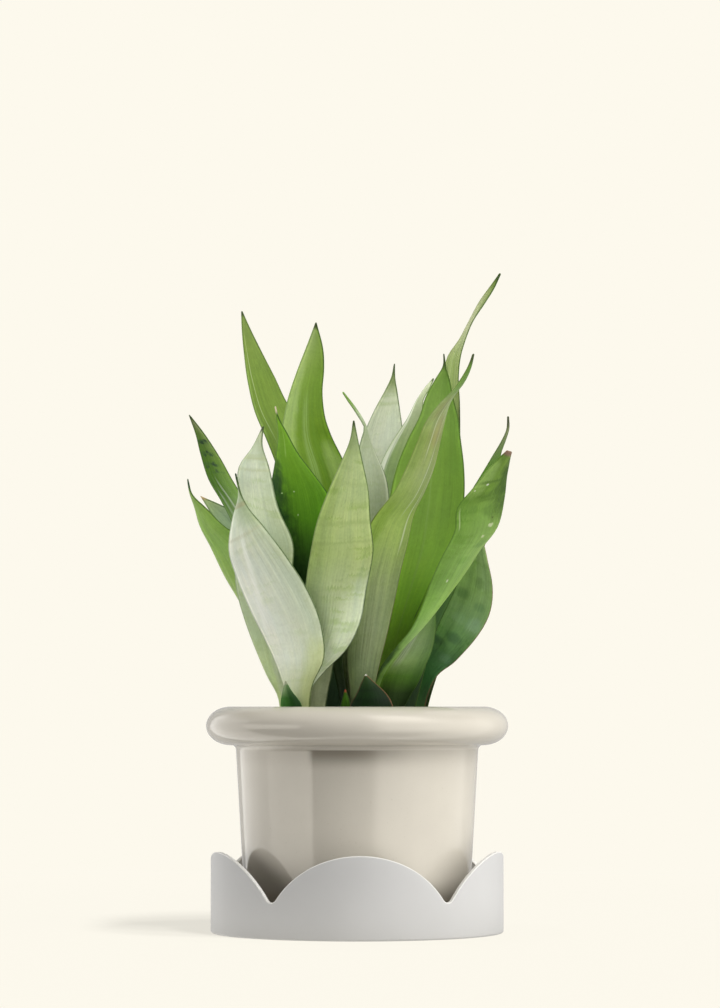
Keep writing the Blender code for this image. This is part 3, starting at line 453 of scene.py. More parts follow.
    "leaf_hooked_right": Look(
        [(0.2, 32, 53, 25), (0.4, 52, 81, 39), (0.85, 76, 116, 28), (0.97, 108, 116, 80)],
        0.5, 0.4, (1.08, 1.04, 1.1), (0.97, 0.98, 0.97), tip=((54, 60, 36), 10.0)),
    "leaf_dark_outer_right": Look(
        [(0.2, 82, 122, 68), (0.31, 60, 110, 53), (0.42, 59, 94, 51), (0.5, 86, 124, 64),
         (0.6, 98, 130, 74), (0.7, 112, 145, 76), (0.85, 122, 158, 82)],
        0.5, 1.0, (0.88, 0.92, 0.8), (0.98, 0.94, 1.1), ((112, 84, 62), 0.5), marks=[
            Wash(0.9, 0.78, 11, 28, (134, 162, 104), 0.7), Wash(0.3, 0.46, 12, 4, (34, 62, 34), 0.7),
            Wash(0.65, 0.5, 9, 5, (42, 72, 42), 0.6), Wash(0.45, 0.66, 8, 5, (64, 96, 42), 0.6),
            Wash(0.8, 0.64, 6, 4, (76, 106, 62), 0.6), Wash(0.7, 0.72, 6, 5, (82, 112, 58), 0.5),
            Wash(0.85, 0.57, 8, 8, (120, 148, 114), 0.5), Wash(0.55, 0.57, 7, 6, (108, 140, 92), 0.5),
            Wash(0.8, 0.42, 7, 5, (84, 118, 80), 0.5), Wash(0.2, 0.58, 6, 6, (70, 104, 50), 0.5)]),
    "leaf_short_right": Look(
        [(0.3, 34, 52, 20), (0.4, 42, 62, 24), (0.5, 76, 111, 36), (0.6, 122, 148, 88),
         (0.7, 116, 138, 90), (0.85, 98, 126, 70)],
        0.6, 0.4, (1.14, 1.1, 1.1), (0.37, 0.48, 0.3), tip=SMALL_TIP, marks=[
            Wash(0.06, 0.6, 5, 28, (120, 164, 56), 0.6),
            # The pale grey streak is a painted highlight
            Streak((0.27, 0.58), (0.28, 0.84), 0.08, (164, 174, 146), 0.6)]),
    "young_leaf_front_left": Look(
        [(0.5, 30, 72, 20), (0.8, 32, 74, 22), (0.97, 92, 122, 76)],
        # Its left side's strong lightening is a painted highlight along the left margin, and its right
        # side's darkening is painted shade
        0.4, 0.3, (4.0, 2.8, 4.2), (0.36, 0.46, 0.3), ((84, 120, 68), 0.7), ((152, 158, 130), 3.0)),
    "young_leaf_front_centre": Look(
        [(0.5, 17, 42, 15), (0.85, 26, 52, 20), (0.97, 46, 68, 34)],
        0.4, 0.3, EVEN, (0.55, 0.65, 0.5), ((120, 88, 60), 1.0), ((214, 214, 200), 1.2), [
            Band(0.7, 3, (14, 30, 14), 0.5), Band(0.82, 2, (20, 36, 16), 0.5)]),
    "young_leaf_small_centre": Look(
        [(0.5, 48, 86, 12), (0.95, 59, 101, 18)],
        0.4, 0.2, EVEN, (1.05, 1.03, 1.05), tip=((150, 70, 48), 2.2)),
}
REAR_PLACES = (0.08, 0.3, 0.6, 0.9)
REAR_TONES = {
    "silver_leaf": [(32, 62, 46), (150, 161, 126), (174, 182, 154), (178, 186, 158)],
    "sage_leaf": [(32, 60, 42), (118, 138, 88), (138, 156, 102), (156, 170, 120)],
    "green_leaf": [(28, 56, 36), (84, 114, 44), (102, 134, 56), (114, 144, 72)],
    "deep_green_leaf": [(26, 54, 36), (66, 96, 38), (74, 116, 36), (98, 134, 50)],
}
BRIGHTEST = 0.86
LEAF_SHINE = 0.16
COOLER, WARMER = (0.985, 1.0, 1.01), (1.015, 1.0, 0.965)
DARKER, PALER = (0.76, 0.84, 0.64), (1.4, 1.35, 1.35)  # the faint bands, and beside the edge line


def linear(colour):
    """Linear red, green and blue of a colour as a picture shows it."""
    shares = [value / 255 for value in colour]
    return tuple(s / 12.92 if s <= 0.04045 else ((s + 0.055) / 1.055) ** 2.4 for s in shares)


def painted(colour):
    """The surface colour that shows as this colour in the studio's light."""
    return tuple(min(BRIGHTEST, share) for share in linear(colour))


class Nodes:
    """Adds nodes to the tree of a material or a world and joins them."""

    def __init__(self, owner):
        owner.use_nodes = True
        self.tree = owner.node_tree

    def feed(self, socket, value):
        if isinstance(value, bpy.types.NodeSocket):
            self.tree.links.new(value, socket)
        elif socket.type == "RGBA" and len(value) == 3:
            socket.default_value = (*value, 1.0)
        else:
            socket.default_value = value

    def add(self, kind, inputs=None, **settings):
        node = self.tree.nodes.new("ShaderNode" + kind)
        for key, value in settings.items():
            setattr(node, key, value)
        for key, value in (inputs or {}).items():
            self.feed(node.inputs[key], value)
        return node

    def out(self, kind, inputs=None, **settings):
        return self.add(kind, inputs, **settings).outputs[0]

    def surface(self, inputs):
        """Gives the material's shader these inputs."""
        for key, value in inputs.items():
            self.feed(self.tree.nodes["Principled BSDF"].inputs[key], value)

    def show(self, output, shader):
        self.feed(self.tree.nodes[output].inputs["Surface"], shader)

    def place(self):
        """Where a point is on its object, in metres."""
        return self.add("TexCoord").outputs["Object"]

    def attribute(self, name):
        return self.add("Attribute", attribute_name=name).outputs["Vector"]

    def parts(self, vector):
        return self.add("SeparateXYZ", {0: vector}).outputs

    def math(self, operation, *values):
        return self.out("Math", dict(enumerate(values)), operation=operation)

    def product(self, *values):
        result = values[0]
        for value in values[1:]:
            result = self.math("MULTIPLY", result, value)
        return result

    def mix(self, share, first, second, blend="MIX"):
        given = {0: share, 6: first, 7: second}
        return self.add("Mix", given, data_type="RGBA", blend_type=blend).outputs[2]

    def tinted(self, tone, factors):
        return self.mix(1.0, tone, factors, "MULTIPLY")

    def rise(self, value, low, high):
        """0 below low and 1 above high, with a smooth step between them. It falls where low is more."""
        return self.out("MapRange", {0: value, 1: low, 2: high}, interpolation_type="SMOOTHSTEP")

    def within(self, value, low, high, soft):
        """1 between low and high, with edges that fade over twice soft."""
        up = self.rise(value, low - soft, low + soft)
        return self.product(up, self.rise(value, high + soft, high - soft))

    def noise(self, vector, scale=1.0, detail=2.0, rough=0.5, distort=0.0):
        return self.out("TexNoise", {
            "Vector": vector, "Scale": scale, "Detail": detail, "Roughness": rough, "Distortion": distort})

    def cells(self, vector, across, along, *more):
        """Noise with cells this wide and long in millimetres, then its detail, roughness, distortion."""
        sizes = (1 / across, 1 / along, 1.0)
        return self.noise(self.out("VectorMath", {0: vector, 1: sizes}, operation="MULTIPLY"), 1.0, *more)

    def uneven(self, base, *sources):
        """The base, changed by each (noise, weight) as far as the noise is from its middle."""
        for value, weight in sources:
            base = self.math("MULTIPLY_ADD", self.math("SUBTRACT", value, 0.5), weight, base)
        return base

    def ramp(self, value, stops):
        node = self.add("ValToRGB", {0: value})
        elements = node.color_ramp.elements
        while len(elements) < len(stops):
            elements.new(0.5)
        for element, (place, colour) in zip(elements, stops):
            element.position = place
            element.color = (*colour, 1.0)
        return node.outputs[0]

    def bump(self, height, distance, strength, under=None):
        given = {"Height": height, "Distance": distance, "Strength": strength}
        if under is not None:
            given["Normal"] = under
        return self.out("Bump", given)


def new_material(name):
    material = bpy.data.materials.new(name)
    return material, Nodes(material)


def placed(name, data):
    """An object in the scene with this data."""
    item = bpy.data.objects.new(name, data)
    bpy.context.scene.collection.objects.link(item)
    return item


def new_mesh(name, points, faces, material):
    mesh = bpy.data.meshes.new(name)
    mesh.from_pydata(points, [], faces)
    mesh.materials.append(material)
    return mesh


def solid(name, points, faces, material, attributes=None):
    """One smooth piece that rides on the body, with its attributes on its points."""
    mesh = new_mesh(name, [tuple(p) for p in points], faces, material)
    mesh.shade_smooth()
    for key, values in (attributes or {}).items():
        made = mesh.attributes.new(key, "FLOAT_VECTOR", "POINT")
        made.data.foreach_set("vector", np.asarray(values, np.float32).ravel())
    item = placed(name, mesh)
    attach(item, BODY)
    return item


def moved(faces, start):
    """The faces with every point's number raised by start."""
    return [tuple(index + start for index in face) for face in faces]


def wound(sections, ends=()):
    """Points and faces of a skin through sections that go round, each one a list of points.

    It closes on the two ends, or without them each section closes on itself.
    """
    rows, count = len(sections[0]), len(sections)
    points = [point for section in sections for point in section]
    first, last = len(points), len(points) + 1
    faces = []
    for k in range(count):
        here, on = k * rows, (k + 1) % count * rows
        for i in range(rows - 1 if ends else rows):
            above = (i + 1) % rows
            faces.append((here + i, on + i, on + above, here + above))
        if ends:
            faces += [(first, on, here), (last, here + rows - 1, on + rows - 1)]
    return points + list(ends), faces


def turned(outline, angle):
    """The outline of (radius, height) as points at an angle round Z."""
    across, along = math.cos(angle) * MM, math.sin(angle) * MM
    return [(radius * across, radius * along, height * MM) for radius, height in outline]


def all_round(outline, segments):
    return [turned(outline, math.tau * k / segments) for k in range(segments)]


def arc(middle, reach, start, end, steps):
    """Points (radius, height) on an arc between two angles in degrees, both ends included."""
    for k in range(steps + 1):
        angle = math.radians(start + (end - start) * k / steps)
        yield middle[0] + reach[0] * math.cos(angle), middle[1] + reach[1] * math.sin(angle)


def body_radius(height):
    share = (height - POT_FOOT) / (BODY_TOP - POT_FOOT)
    return BODY_FOOT_RADIUS + share * (BODY_TOP_RADIUS - BODY_FOOT_RADIUS)


def inner_radius(height):
    return body_radius(min(height, BODY_TOP)) - POT_WALL


def pot_outline():
    """The pot's section as (radius, height), up the outside and down the inside."""
    foot = (BODY_FOOT_RADIUS - FOOT_ROUND, POT_FOOT + FOOT_ROUND)
    cove = (BODY_TOP_RADIUS + COVE, BODY_TOP)
    roll = (RIM_RADIUS - RIM_ROLL, POT_TOP - RIM_HEIGHT / 2)
    mouth = inner_radius(POT_TOP)
    lip = (mouth + MOUTH_ROUND, POT_TOP - MOUTH_ROUND)
    floor = POT_FOOT + POT_FLOOR
    outline = [(DRAIN_RADIUS, POT_FOOT)]
    outline += arc(foot, (FOOT_ROUND, FOOT_ROUND), -90, 0, 6)
    heights = [foot[1] + (BODY_TOP - foot[1]) * k / 12 for k in range(1, 12)]
    outline += [(body_radius(height), height) for height in heights]
    outline += arc(cove, (COVE, COVE), 180, 90, 8)
    outline += arc(roll, (RIM_ROLL, RIM_HEIGHT / 2), -90, 90, 40)
    outline += arc(lip, (MOUTH_ROUND, MOUTH_ROUND), 90, 180, 10)
    outline += [(mouth, BODY_TOP), (inner_radius(floor + FLOOR_FILLET), floor + FLOOR_FILLET)]
    outline += [(inner_radius(floor) - FLOOR_FILLET, floor), (DRAIN_RADIUS, floor)]
    return outline


def glaze():
    """Cream glaze: faintly mottled, glossy, with the slight waviness of a thrown and dipped pot.

    Painted shade darkens it at the pot's foot and in the neck under the rim, as the photo shows it.
    """
    material, nodes = new_material("cream glaze")
    place = nodes.place()
    x, y, height = nodes.parts(place)
    clouds = nodes.noise(place, 22.0, 3.0, 0.6)
    freckles = nodes.rise(nodes.noise(place, 700.0, 2.0, 0.6), 0.66, 0.74)
    tone = nodes.ramp(clouds, [(0.3, (0.599, 0.561, 0.485)), (0.7, (0.631, 0.592, 0.511))])
    tone = nodes.mix(nodes.product(freckles, 0.22), tone, (0.42, 0.36, 0.27))

    # Painted shade at the pot's foot, reaching higher on the left than on the right
    full, left, right = (edge * MM for edge in FOOT_SHADE)
    gone = nodes.math("MULTIPLY_ADD", nodes.rise(x, -0.02, 0.06), right - left, left)
    tone = nodes.mix(nodes.product(nodes.rise(height, gone, full), FOOT_SHADE_SHARE), tone, FOOT_SHADE_COLOUR)

    # Painted shade in the neck under the rim, all round and strongest in the front middle
    start, full, end = (edge * MM for edge in NECK_SHADE)
    neck = nodes.product(nodes.rise(height, start, full), nodes.rise(height, end, full))
    middle = nodes.product(nodes.rise(x, -0.035, -0.029), nodes.rise(x, 0.055, -0.008))
    front = nodes.product(middle, nodes.rise(y, 0.0, -0.03))
    shade = nodes.product(neck, nodes.math("MULTIPLY_ADD", front, NECK_SHADE_MIDDLE, NECK_SHADE_SHARE))
    tone = nodes.mix(shade, tone, NECK_SHADE_COLOUR)

    waves = nodes.bump(nodes.noise(place, 38.0, 2.0, 0.5), 0.0004, 0.5)
    peel = nodes.bump(nodes.noise(place, 420.0, 2.0, 0.5), 0.00002, 0.5, waves)
    nodes.surface({
        "Base Color": tone, "Roughness": nodes.math("MULTIPLY_ADD", clouds, 0.06, 0.07),
        "Specular Tint": (1.0, 0.95, 0.86), "IOR": 1.5, "Normal": peel})
    return material


def make_pot():
    points, faces = wound(all_round(pot_outline(), POT_SEGMENTS))
    pot = solid("glazed_pot", points, faces, glaze())
    pot.data.set_sharp_from_angle(angle=SHARP_ANGLE)
    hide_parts("pot")
    return pot


def lobe_height(along):
    """Height of the saucer's wall at a distance along it from the middle of a lobe."""
    half = math.pi * SAUCER_RADIUS / LOBES
    reach = LOBE_ARC + NOTCH_FILLET
    drop = math.sqrt(reach**2 - half**2)
    meet = half * LOBE_ARC / reach
    if abs(along) <= meet:
        return LOBE_TOP - LOBE_ARC + math.sqrt(LOBE_ARC**2 - along**2)
    return LOBE_TOP - LOBE_ARC + drop - math.sqrt(NOTCH_FILLET**2 - (half - abs(along)) ** 2)


def saucer_angles():
    """Angles round the wall, closer together at the notches, starting at a notch."""
    half = math.pi / LOBES
    for lobe in range(LOBES):
        middle = -math.pi / 2 + SAUCER_TURN + 2 * half * lobe
        for k in range(LOBE_STEPS):
            t = 2 * k / LOBE_STEPS - 1
            yield middle, half * (EVENLY * t + CROWDED * math.sin(math.pi * t / 2))


def saucer_section(top):
    """The wall from under the floor's edge, up outside, over the rounded ridge and down inside."""
    outside, inside = SAUCER_RADIUS, SAUCER_RADIUS - SAUCER_WALL
    ridge = (RIDGE_ROUND, RIDGE_ROUND)
    section = list(arc((outside - SAUCER_EDGE, SAUCER_EDGE), (SAUCER_EDGE, SAUCER_EDGE), -90, 0, 5))
    section += [(outside, SAUCER_EDGE + (top - RIDGE_ROUND - SAUCER_EDGE) * k / 6) for k in range(1, 6)]
    section += arc((outside - RIDGE_ROUND, top - RIDGE_ROUND), ridge, 0, 90, 4)
    section += arc((inside + RIDGE_ROUND, top - RIDGE_ROUND), ridge, 90, 180, 4)
    section += [(inside - a, SAUCER_FLOOR + b) for a, b in SAUCER_FILLET]
    return section


def saucer_matt():
    """Matt pale grey: an even powdery surface with very fine grain, and a painted highlight on its cut
    edge.
    """
    material, nodes = new_material("saucer grey")
    place = nodes.place()
    grain = nodes.noise(place, 1500.0, 2.0, 0.6)
    clouds = nodes.noise(place, 16.0, 3.0, 0.55)
    tone = nodes.ramp(clouds, [(0.3, (0.530, 0.527, 0.521)), (0.7, (0.558, 0.555, 0.549))])
    below = nodes.parts(nodes.attribute("ridge"))[0]
    # A painted highlight along the cut edge at the ridge
    tone = nodes.mix(nodes.rise(below, RIDGE_HIGHLIGHT, RIDGE_HIGHLIGHT * 0.5), tone, (0.78, 0.772, 0.74))
    nodes.surface({
        "Base Color": tone, "Roughness": nodes.math("MULTIPLY_ADD", grain, 0.12, 0.5),
        "Normal": nodes.bump(grain, 0.00003, 0.6)})
    return material


def make_saucer():
    """The saucer, whose points hold how far they are below the ridge."""
    sections, below = [], []
    for middle, turn in saucer_angles():
        place = turn * SAUCER_RADIUS
        top = lobe_height(place)
        slope = lobe_height(place + 0.5) - lobe_height(place - 0.5)
        section = saucer_section(top)
        sections.append(turned(section, middle + turn))
        below += [((top - z) / math.hypot(1, slope), 0.0, 0.0) for r, z in section]
    below += [(LOBE_TOP, 0.0, 0.0)] * 2
    points, faces = wound(sections, [(0.0, 0.0, 0.0), (0.0, 0.0, SAUCER_FLOOR * MM)])
    saucer = solid("scalloped_saucer", points, faces, saucer_matt(), {"ridge": below})
    saucer.data.set_sharp_from_angle(angle=SHARP_ANGLE)
    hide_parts("saucer")
    return saucer


def earth():
    """Dark potting soil, in uneven browns with pale dust on the crumbs."""
    material, nodes = new_material("potting soil")
    place = nodes.place()
    dust = nodes.noise(place, 900.0, 3.0, 0.7)
    tone = nodes.ramp(nodes.noise(place, 120.0, 4.0, 0.65), [
        (0.3, (0.014, 0.009, 0.006)), (0.55, (0.045, 0.029, 0.018)), (0.75, (0.095, 0.064, 0.040))])
    tone = nodes.mix(nodes.product(nodes.rise(dust, 0.6, 0.75), 0.35), tone, (0.2, 0.15, 0.1))
    nodes.surface({
        "Base Color": tone, "Roughness": 0.95, "Specular IOR Level": 0.2,
        "Normal": nodes.bump(dust, 0.0004, 0.8)})
    return material


def perlite():
    """White, chalky grains."""
    material, nodes = new_material("perlite")
    grain = nodes.noise(nodes.place(), 800.0, 3.0, 0.6)
    tone = nodes.ramp(grain, [(0.35, (0.42, 0.38, 0.32)), (0.6, (0.72, 0.70, 0.64))])
    nodes.surface({"Base Color": tone, "Roughness": 0.9, "Normal": nodes.bump(grain, 0.0003, 0.8)})
    return material


def soil_height(x, y):
    """Height of the soil's surface, a little uneven, at a place in millimetres."""
    edge = inner_radius(SOIL_EDGE) - GAP
    reach = math.hypot(x, y) / edge
    if reach < SHOULDER_REACH:
        height = SOIL_CROWN + (SOIL_SHOULDER - SOIL_CROWN) * reach / SHOULDER_REACH
    else:
        out = (reach - SHOULDER_REACH) / (1 - SHOULDER_REACH)
        height = SOIL_SHOULDER + (SOIL_EDGE - SOIL_SHOULDER) * out
    rough = noise.noise(Vector((x / 9, y / 9, 0.3))) + 0.5 * noise.noise(Vector((x / 3.2, y / 3.2, 5.1)))
    return height + SOIL_ROUGHNESS * rough


def lump(middle, size, draw):
    """Points and faces of one uneven crumb: a coarse ball with its corners moved at random."""
    turn = draw.uniform(0, math.tau)
    draw.random()  # one more draw keeps the crumbs that follow as they are
    points = []
    for i in range(3):
        for k in range(LUMP_SIDES):
            tilt = math.pi * (i + 1) / 4
            angle = turn + math.tau * (k + 0.5 * (i % 2)) / LUMP_SIDES
            reach = size * draw.uniform(0.72, 1.15)
            points.append((middle[0] + reach * math.sin(tilt) * math.cos(angle),
                           middle[1] + reach * math.sin(tilt) * math.sin(angle) * 0.85,
                           middle[2] + reach * math.cos(tilt) * 0.8))
    points += [(middle[0], middle[1], middle[2] + size * side) for side in (0.8, -0.8)]
    waist, lower, top, foot = LUMP_SIDES, 2 * LUMP_SIDES, 3 * LUMP_SIDES, 3 * LUMP_SIDES + 1
    faces = []
    for k in range(LUMP_SIDES):
        on = (k + 1) % LUMP_SIDES
        faces += [(top, k, on), (foot, lower + on, lower + k)]
        faces += [(k, waist + k, on), (on, waist + k, waist + on)]
        faces += [(waist + k, lower + k, waist + on), (waist + on, lower + k, lower + on)]
    return points, faces


def scattered(count, low, high, draw):
    """Crumbs lying on the soil, most of them small, each sunk a third of its size."""
    points, faces = [], []
    edge = inner_radius(SOIL_EDGE) - GAP
    for _ in range(count):
        size = low + (high - low) * draw.random() ** 3
        reach = (edge - high - 0.5) * math.sqrt(draw.random())
        angle = draw.uniform(0, math.tau)
        x, y = reach * math.cos(angle), reach * math.sin(angle)
        own, own_faces = lump((x, y, soil_height(x, y) + size * 0.3), size, draw)
        faces += moved(own_faces, len(points))
        points += [(a * MM, b * MM, c * MM) for a, b, c in own]
    return points, faces


def make_soil():
    floor = POT_FOOT + POT_FLOOR + GAP
    edge = inner_radius(SOIL_EDGE) - GAP
    wall = (inner_radius(floor + FLOOR_FILLET) - GAP, floor + FLOOR_FILLET)
    outline = [(inner_radius(floor) - FLOOR_FILLET - GAP, floor), wall, (edge, BODY_TOP)]
    outline += [(edge * (1 - k / SOIL_RINGS), SOIL_EDGE) for k in range(SOIL_RINGS)]
    ends = [(0.0, 0.0, floor * MM), (0.0, 0.0, SOIL_CROWN * MM)]
    points, faces = wound(all_round(outline, SOIL_SEGMENTS), ends)
    top = []
    for x, y, z in points:
        if z >= (SOIL_EDGE - 0.01) * MM:
            z = soil_height(x / MM, y / MM) * MM
        top.append((x, y, z))
    draw = random.Random(7)
    crumbs, crumb_faces = scattered(CRUMBS, *CRUMB_SIZES, draw)
    faces += moved(crumb_faces, len(top))
    soil = solid("crumbly_soil", top + crumbs, faces, earth())
    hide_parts("soil")
    chips, chip_faces = scattered(CHIPS, *CHIP_SIZES, draw)
    grains = solid("perlite_grains", chips, chip_faces, perlite())


def flow(stops, values, at):
    """Values at their stops, joined by a smooth curve and read at one place."""
    values = np.array(values, float).reshape(len(stops), -1)
    steps = np.diff(stops)
    slopes = np.diff(values, axis=0) / steps[:, None]
    before, after = steps[:-1, None], steps[1:, None]
    bends = (slopes[:-1] * after + slopes[1:] * before) / (before + after)
    bends = np.vstack([slopes[:1], bends, slopes[-1:]])
    i = int(np.clip(np.searchsorted(stops, at, side="right") - 1, 0, len(steps) - 1))
    t = (at - stops[i]) / steps[i]
    ends = (2 * t**3 - 3 * t**2 + 1) * values[i] + (3 * t**2 - 2 * t**3) * values[i + 1]
    pulls = (t**3 - 2 * t**2 + t) * bends[i] + (t**3 - t**2) * bends[i + 1]
    return ends + pulls * steps[i]


def even(values, at):
    return flow(np.linspace(0.0, 1.0, len(values)), values, at)[0]


def margins_of(leaf):
    """Margin pairs from base to tip: left across, left up, right across, right up."""
    rows = [(*edges, up) for edges, up in zip(leaf.foot, FOOT_HEIGHTS)] + leaf.grown
    return np.array([(row[0], row[2], row[1], row[-1]) for row in rows], float)


def along_leaf(leaf):
    """Each margin pair's share of the way from base to tip, and the leaf's length."""
    margins = margins_of(leaf)
    middles = (margins[:, :2] + margins[:, 2:]) / 2
    walked = np.concatenate([[0.0], np.cumsum(np.linalg.norm(np.diff(middles, axis=0), axis=1))])
    return walked / walked[-1], walked[-1]


def frame_at(leaf, stops, at):
    """Middle of the leaf and the way from there to its right margin, both as seen."""
    left, left_up, right, right_up = flow(stops, margins_of(leaf), at)
    middle = np.array([(left + right) / 2, even(leaf.depth, at), (left_up + right_up) / 2])
    half = np.array([(right - left) / 2, even(leaf.swing, at), (right_up - left_up) / 2])
    return middle, half


def ring_places(stops, length):
    """Places of the rings: the straight foot's two ends, even ones up the leaf, closer at its tip."""
    places = [0.0, stops[1]]
    while places[-1] < 1.0:
        left = (1.0 - places[-1]) * length
        step = min(RING_STEP, max(TIP_STEP, left / 6))
        places.append(places[-1] + step / length)
    places[-1] = 1.0
    return places


def strip_places():
    """Places across the blade from -1 to 1, closer together at its margins."""
    return [math.sin(math.pi / 2 * k / HALF_STRIPS) for k in range(-HALF_STRIPS, HALF_STRIPS + 1)]


def leaf_surface(leaf, places, stops):
    """The leaf's middle surface as seen, as a row of points at each place, and its half widths."""
    height, count = leaf.wave
    rows, widths = [], []
    for at in places:
        middle, half = frame_at(leaf, stops, at)
        behind = frame_at(leaf, stops, max(0.0, at - AHEAD))[0]
        ahead = frame_at(leaf, stops, min(1.0, at + AHEAD))[0]
        belly = np.cross(half, ahead - behind)
        belly /= np.linalg.norm(belly)
        width = np.linalg.norm(half)
        channel = leaf.cup * width * (1 + FOOT_CUP * (1 - at) ** 3 + TIP_CUP * at**6)
        fade = min(1.0, WAVE_FADE * (1 - at))
        row = []
        for u in strip_places():
            ripple = height * math.sin(2 * math.pi * count * at + WAVE_SLANT * u) * abs(u) ** 3
            row.append(middle + half * u + belly * (channel * (1 - u * u) + ripple * fade))
        rows.append(row)
        widths.append(width)
    return np.array(rows), np.array(widths)


def seen(points):
    """Where points really are that show at these places in the plane of the pot's axis."""
    nearness = 1 + points[..., 1] / EYE_AWAY
    real = points.copy()
    real[..., 0] *= nearness
    real[..., 2] = POT_TOP + (points[..., 2] - POT_TOP) * nearness
    return real * MM


def blade(leaf):
    """Points, faces and attributes of the blade: two faces that meet at thin rounded margins.

    blade holds (share across, share along, share of its full width), measure holds how far a point
    is from the nearer margin, from the tip and from the middle, and grain holds even coordinates
    for the fibres.
    """
    stops, length = along_leaf(leaf)
    places = ring_places(stops, length)
    flat, widths = leaf_surface(leaf, places, stops)
    surface = seen(flat)
    u = np.array(strip_places())[None, :]
    share = np.array(places)[:, None]
    up = np.gradient(surface, np.array(places), axis=0)
    over = np.gradient(surface, u[0], axis=1)
    normals = np.cross(over, up)
    normals /= np.linalg.norm(normals, axis=2, keepdims=True)
    thickest = BLADE_THICKNESS + FOOT_THICKER * (1 - share) ** 3 - TIP_THINNER * share**4
    edge = EDGE_THICKNESS * np.sqrt(np.clip(1 - u**8, 0, 1))
    thickness = edge + (thickest - EDGE_THICKNESS) * (1 - u * u)
    offset = normals * (thickness / 2 * MM)[..., None]
    rings, across = len(places), u.shape[1]
    direction = surface[-1, HALF_STRIPS] - surface[-2, HALF_STRIPS]
    point = surface[-1, HALF_STRIPS] + direction / np.linalg.norm(direction) * POINT * MM

    def listed(front, back, end):
        """The front's rows, the back's without the margins that they share, and the point."""
        return np.concatenate([front.reshape(-1, 3), back[:, 1:-1].reshape(-1, 3), [end]])

    def number(i, j, behind):
        if behind and 0 < j < across - 1:
            return rings * across + i * (across - 2) + j - 1
        return i * across + j

    points = listed(surface + offset, surface - offset, point)
    corners = ((0, 0), (0, 1), (1, 1), (1, 0))
    faces = []
    for i in range(rings - 1):
        for j in range(across - 1):
            faces.append([number(i + a, j + b, False) for a, b in corners])
            faces.append([number(i + b, j + a, True) for a, b in corners])
    foot = [number(0, j, True) for j in range(across)]
    faces.append(foot + [number(0, j, False) for j in range(across - 2, 0, -1)])
    last = len(points) - 1
    for j in range(across - 1):
        faces.append((number(rings - 1, j, False), number(rings - 1, j + 1, False), last))
        faces.append((number(rings - 1, j + 1, True), number(rings - 1, j, True), last))

    half = widths[:, None]
    held = {
        "blade": ((u + 1) / 2, share, half / widths.max()),
        "measure": ((1 - np.abs(u)) * half, (1 - share) * length, u * half),
        "grain": (u * widths.max(), share * length, LEAVES.index(leaf) * GRAIN_STEP),
    }
    attributes = {}
    for key, triple in held.items():
        values = np.stack(np.broadcast_arrays(*triple), axis=-1)
        attributes[key] = listed(values, values, values[-1, HALF_STRIPS])
    return points, faces, attributes


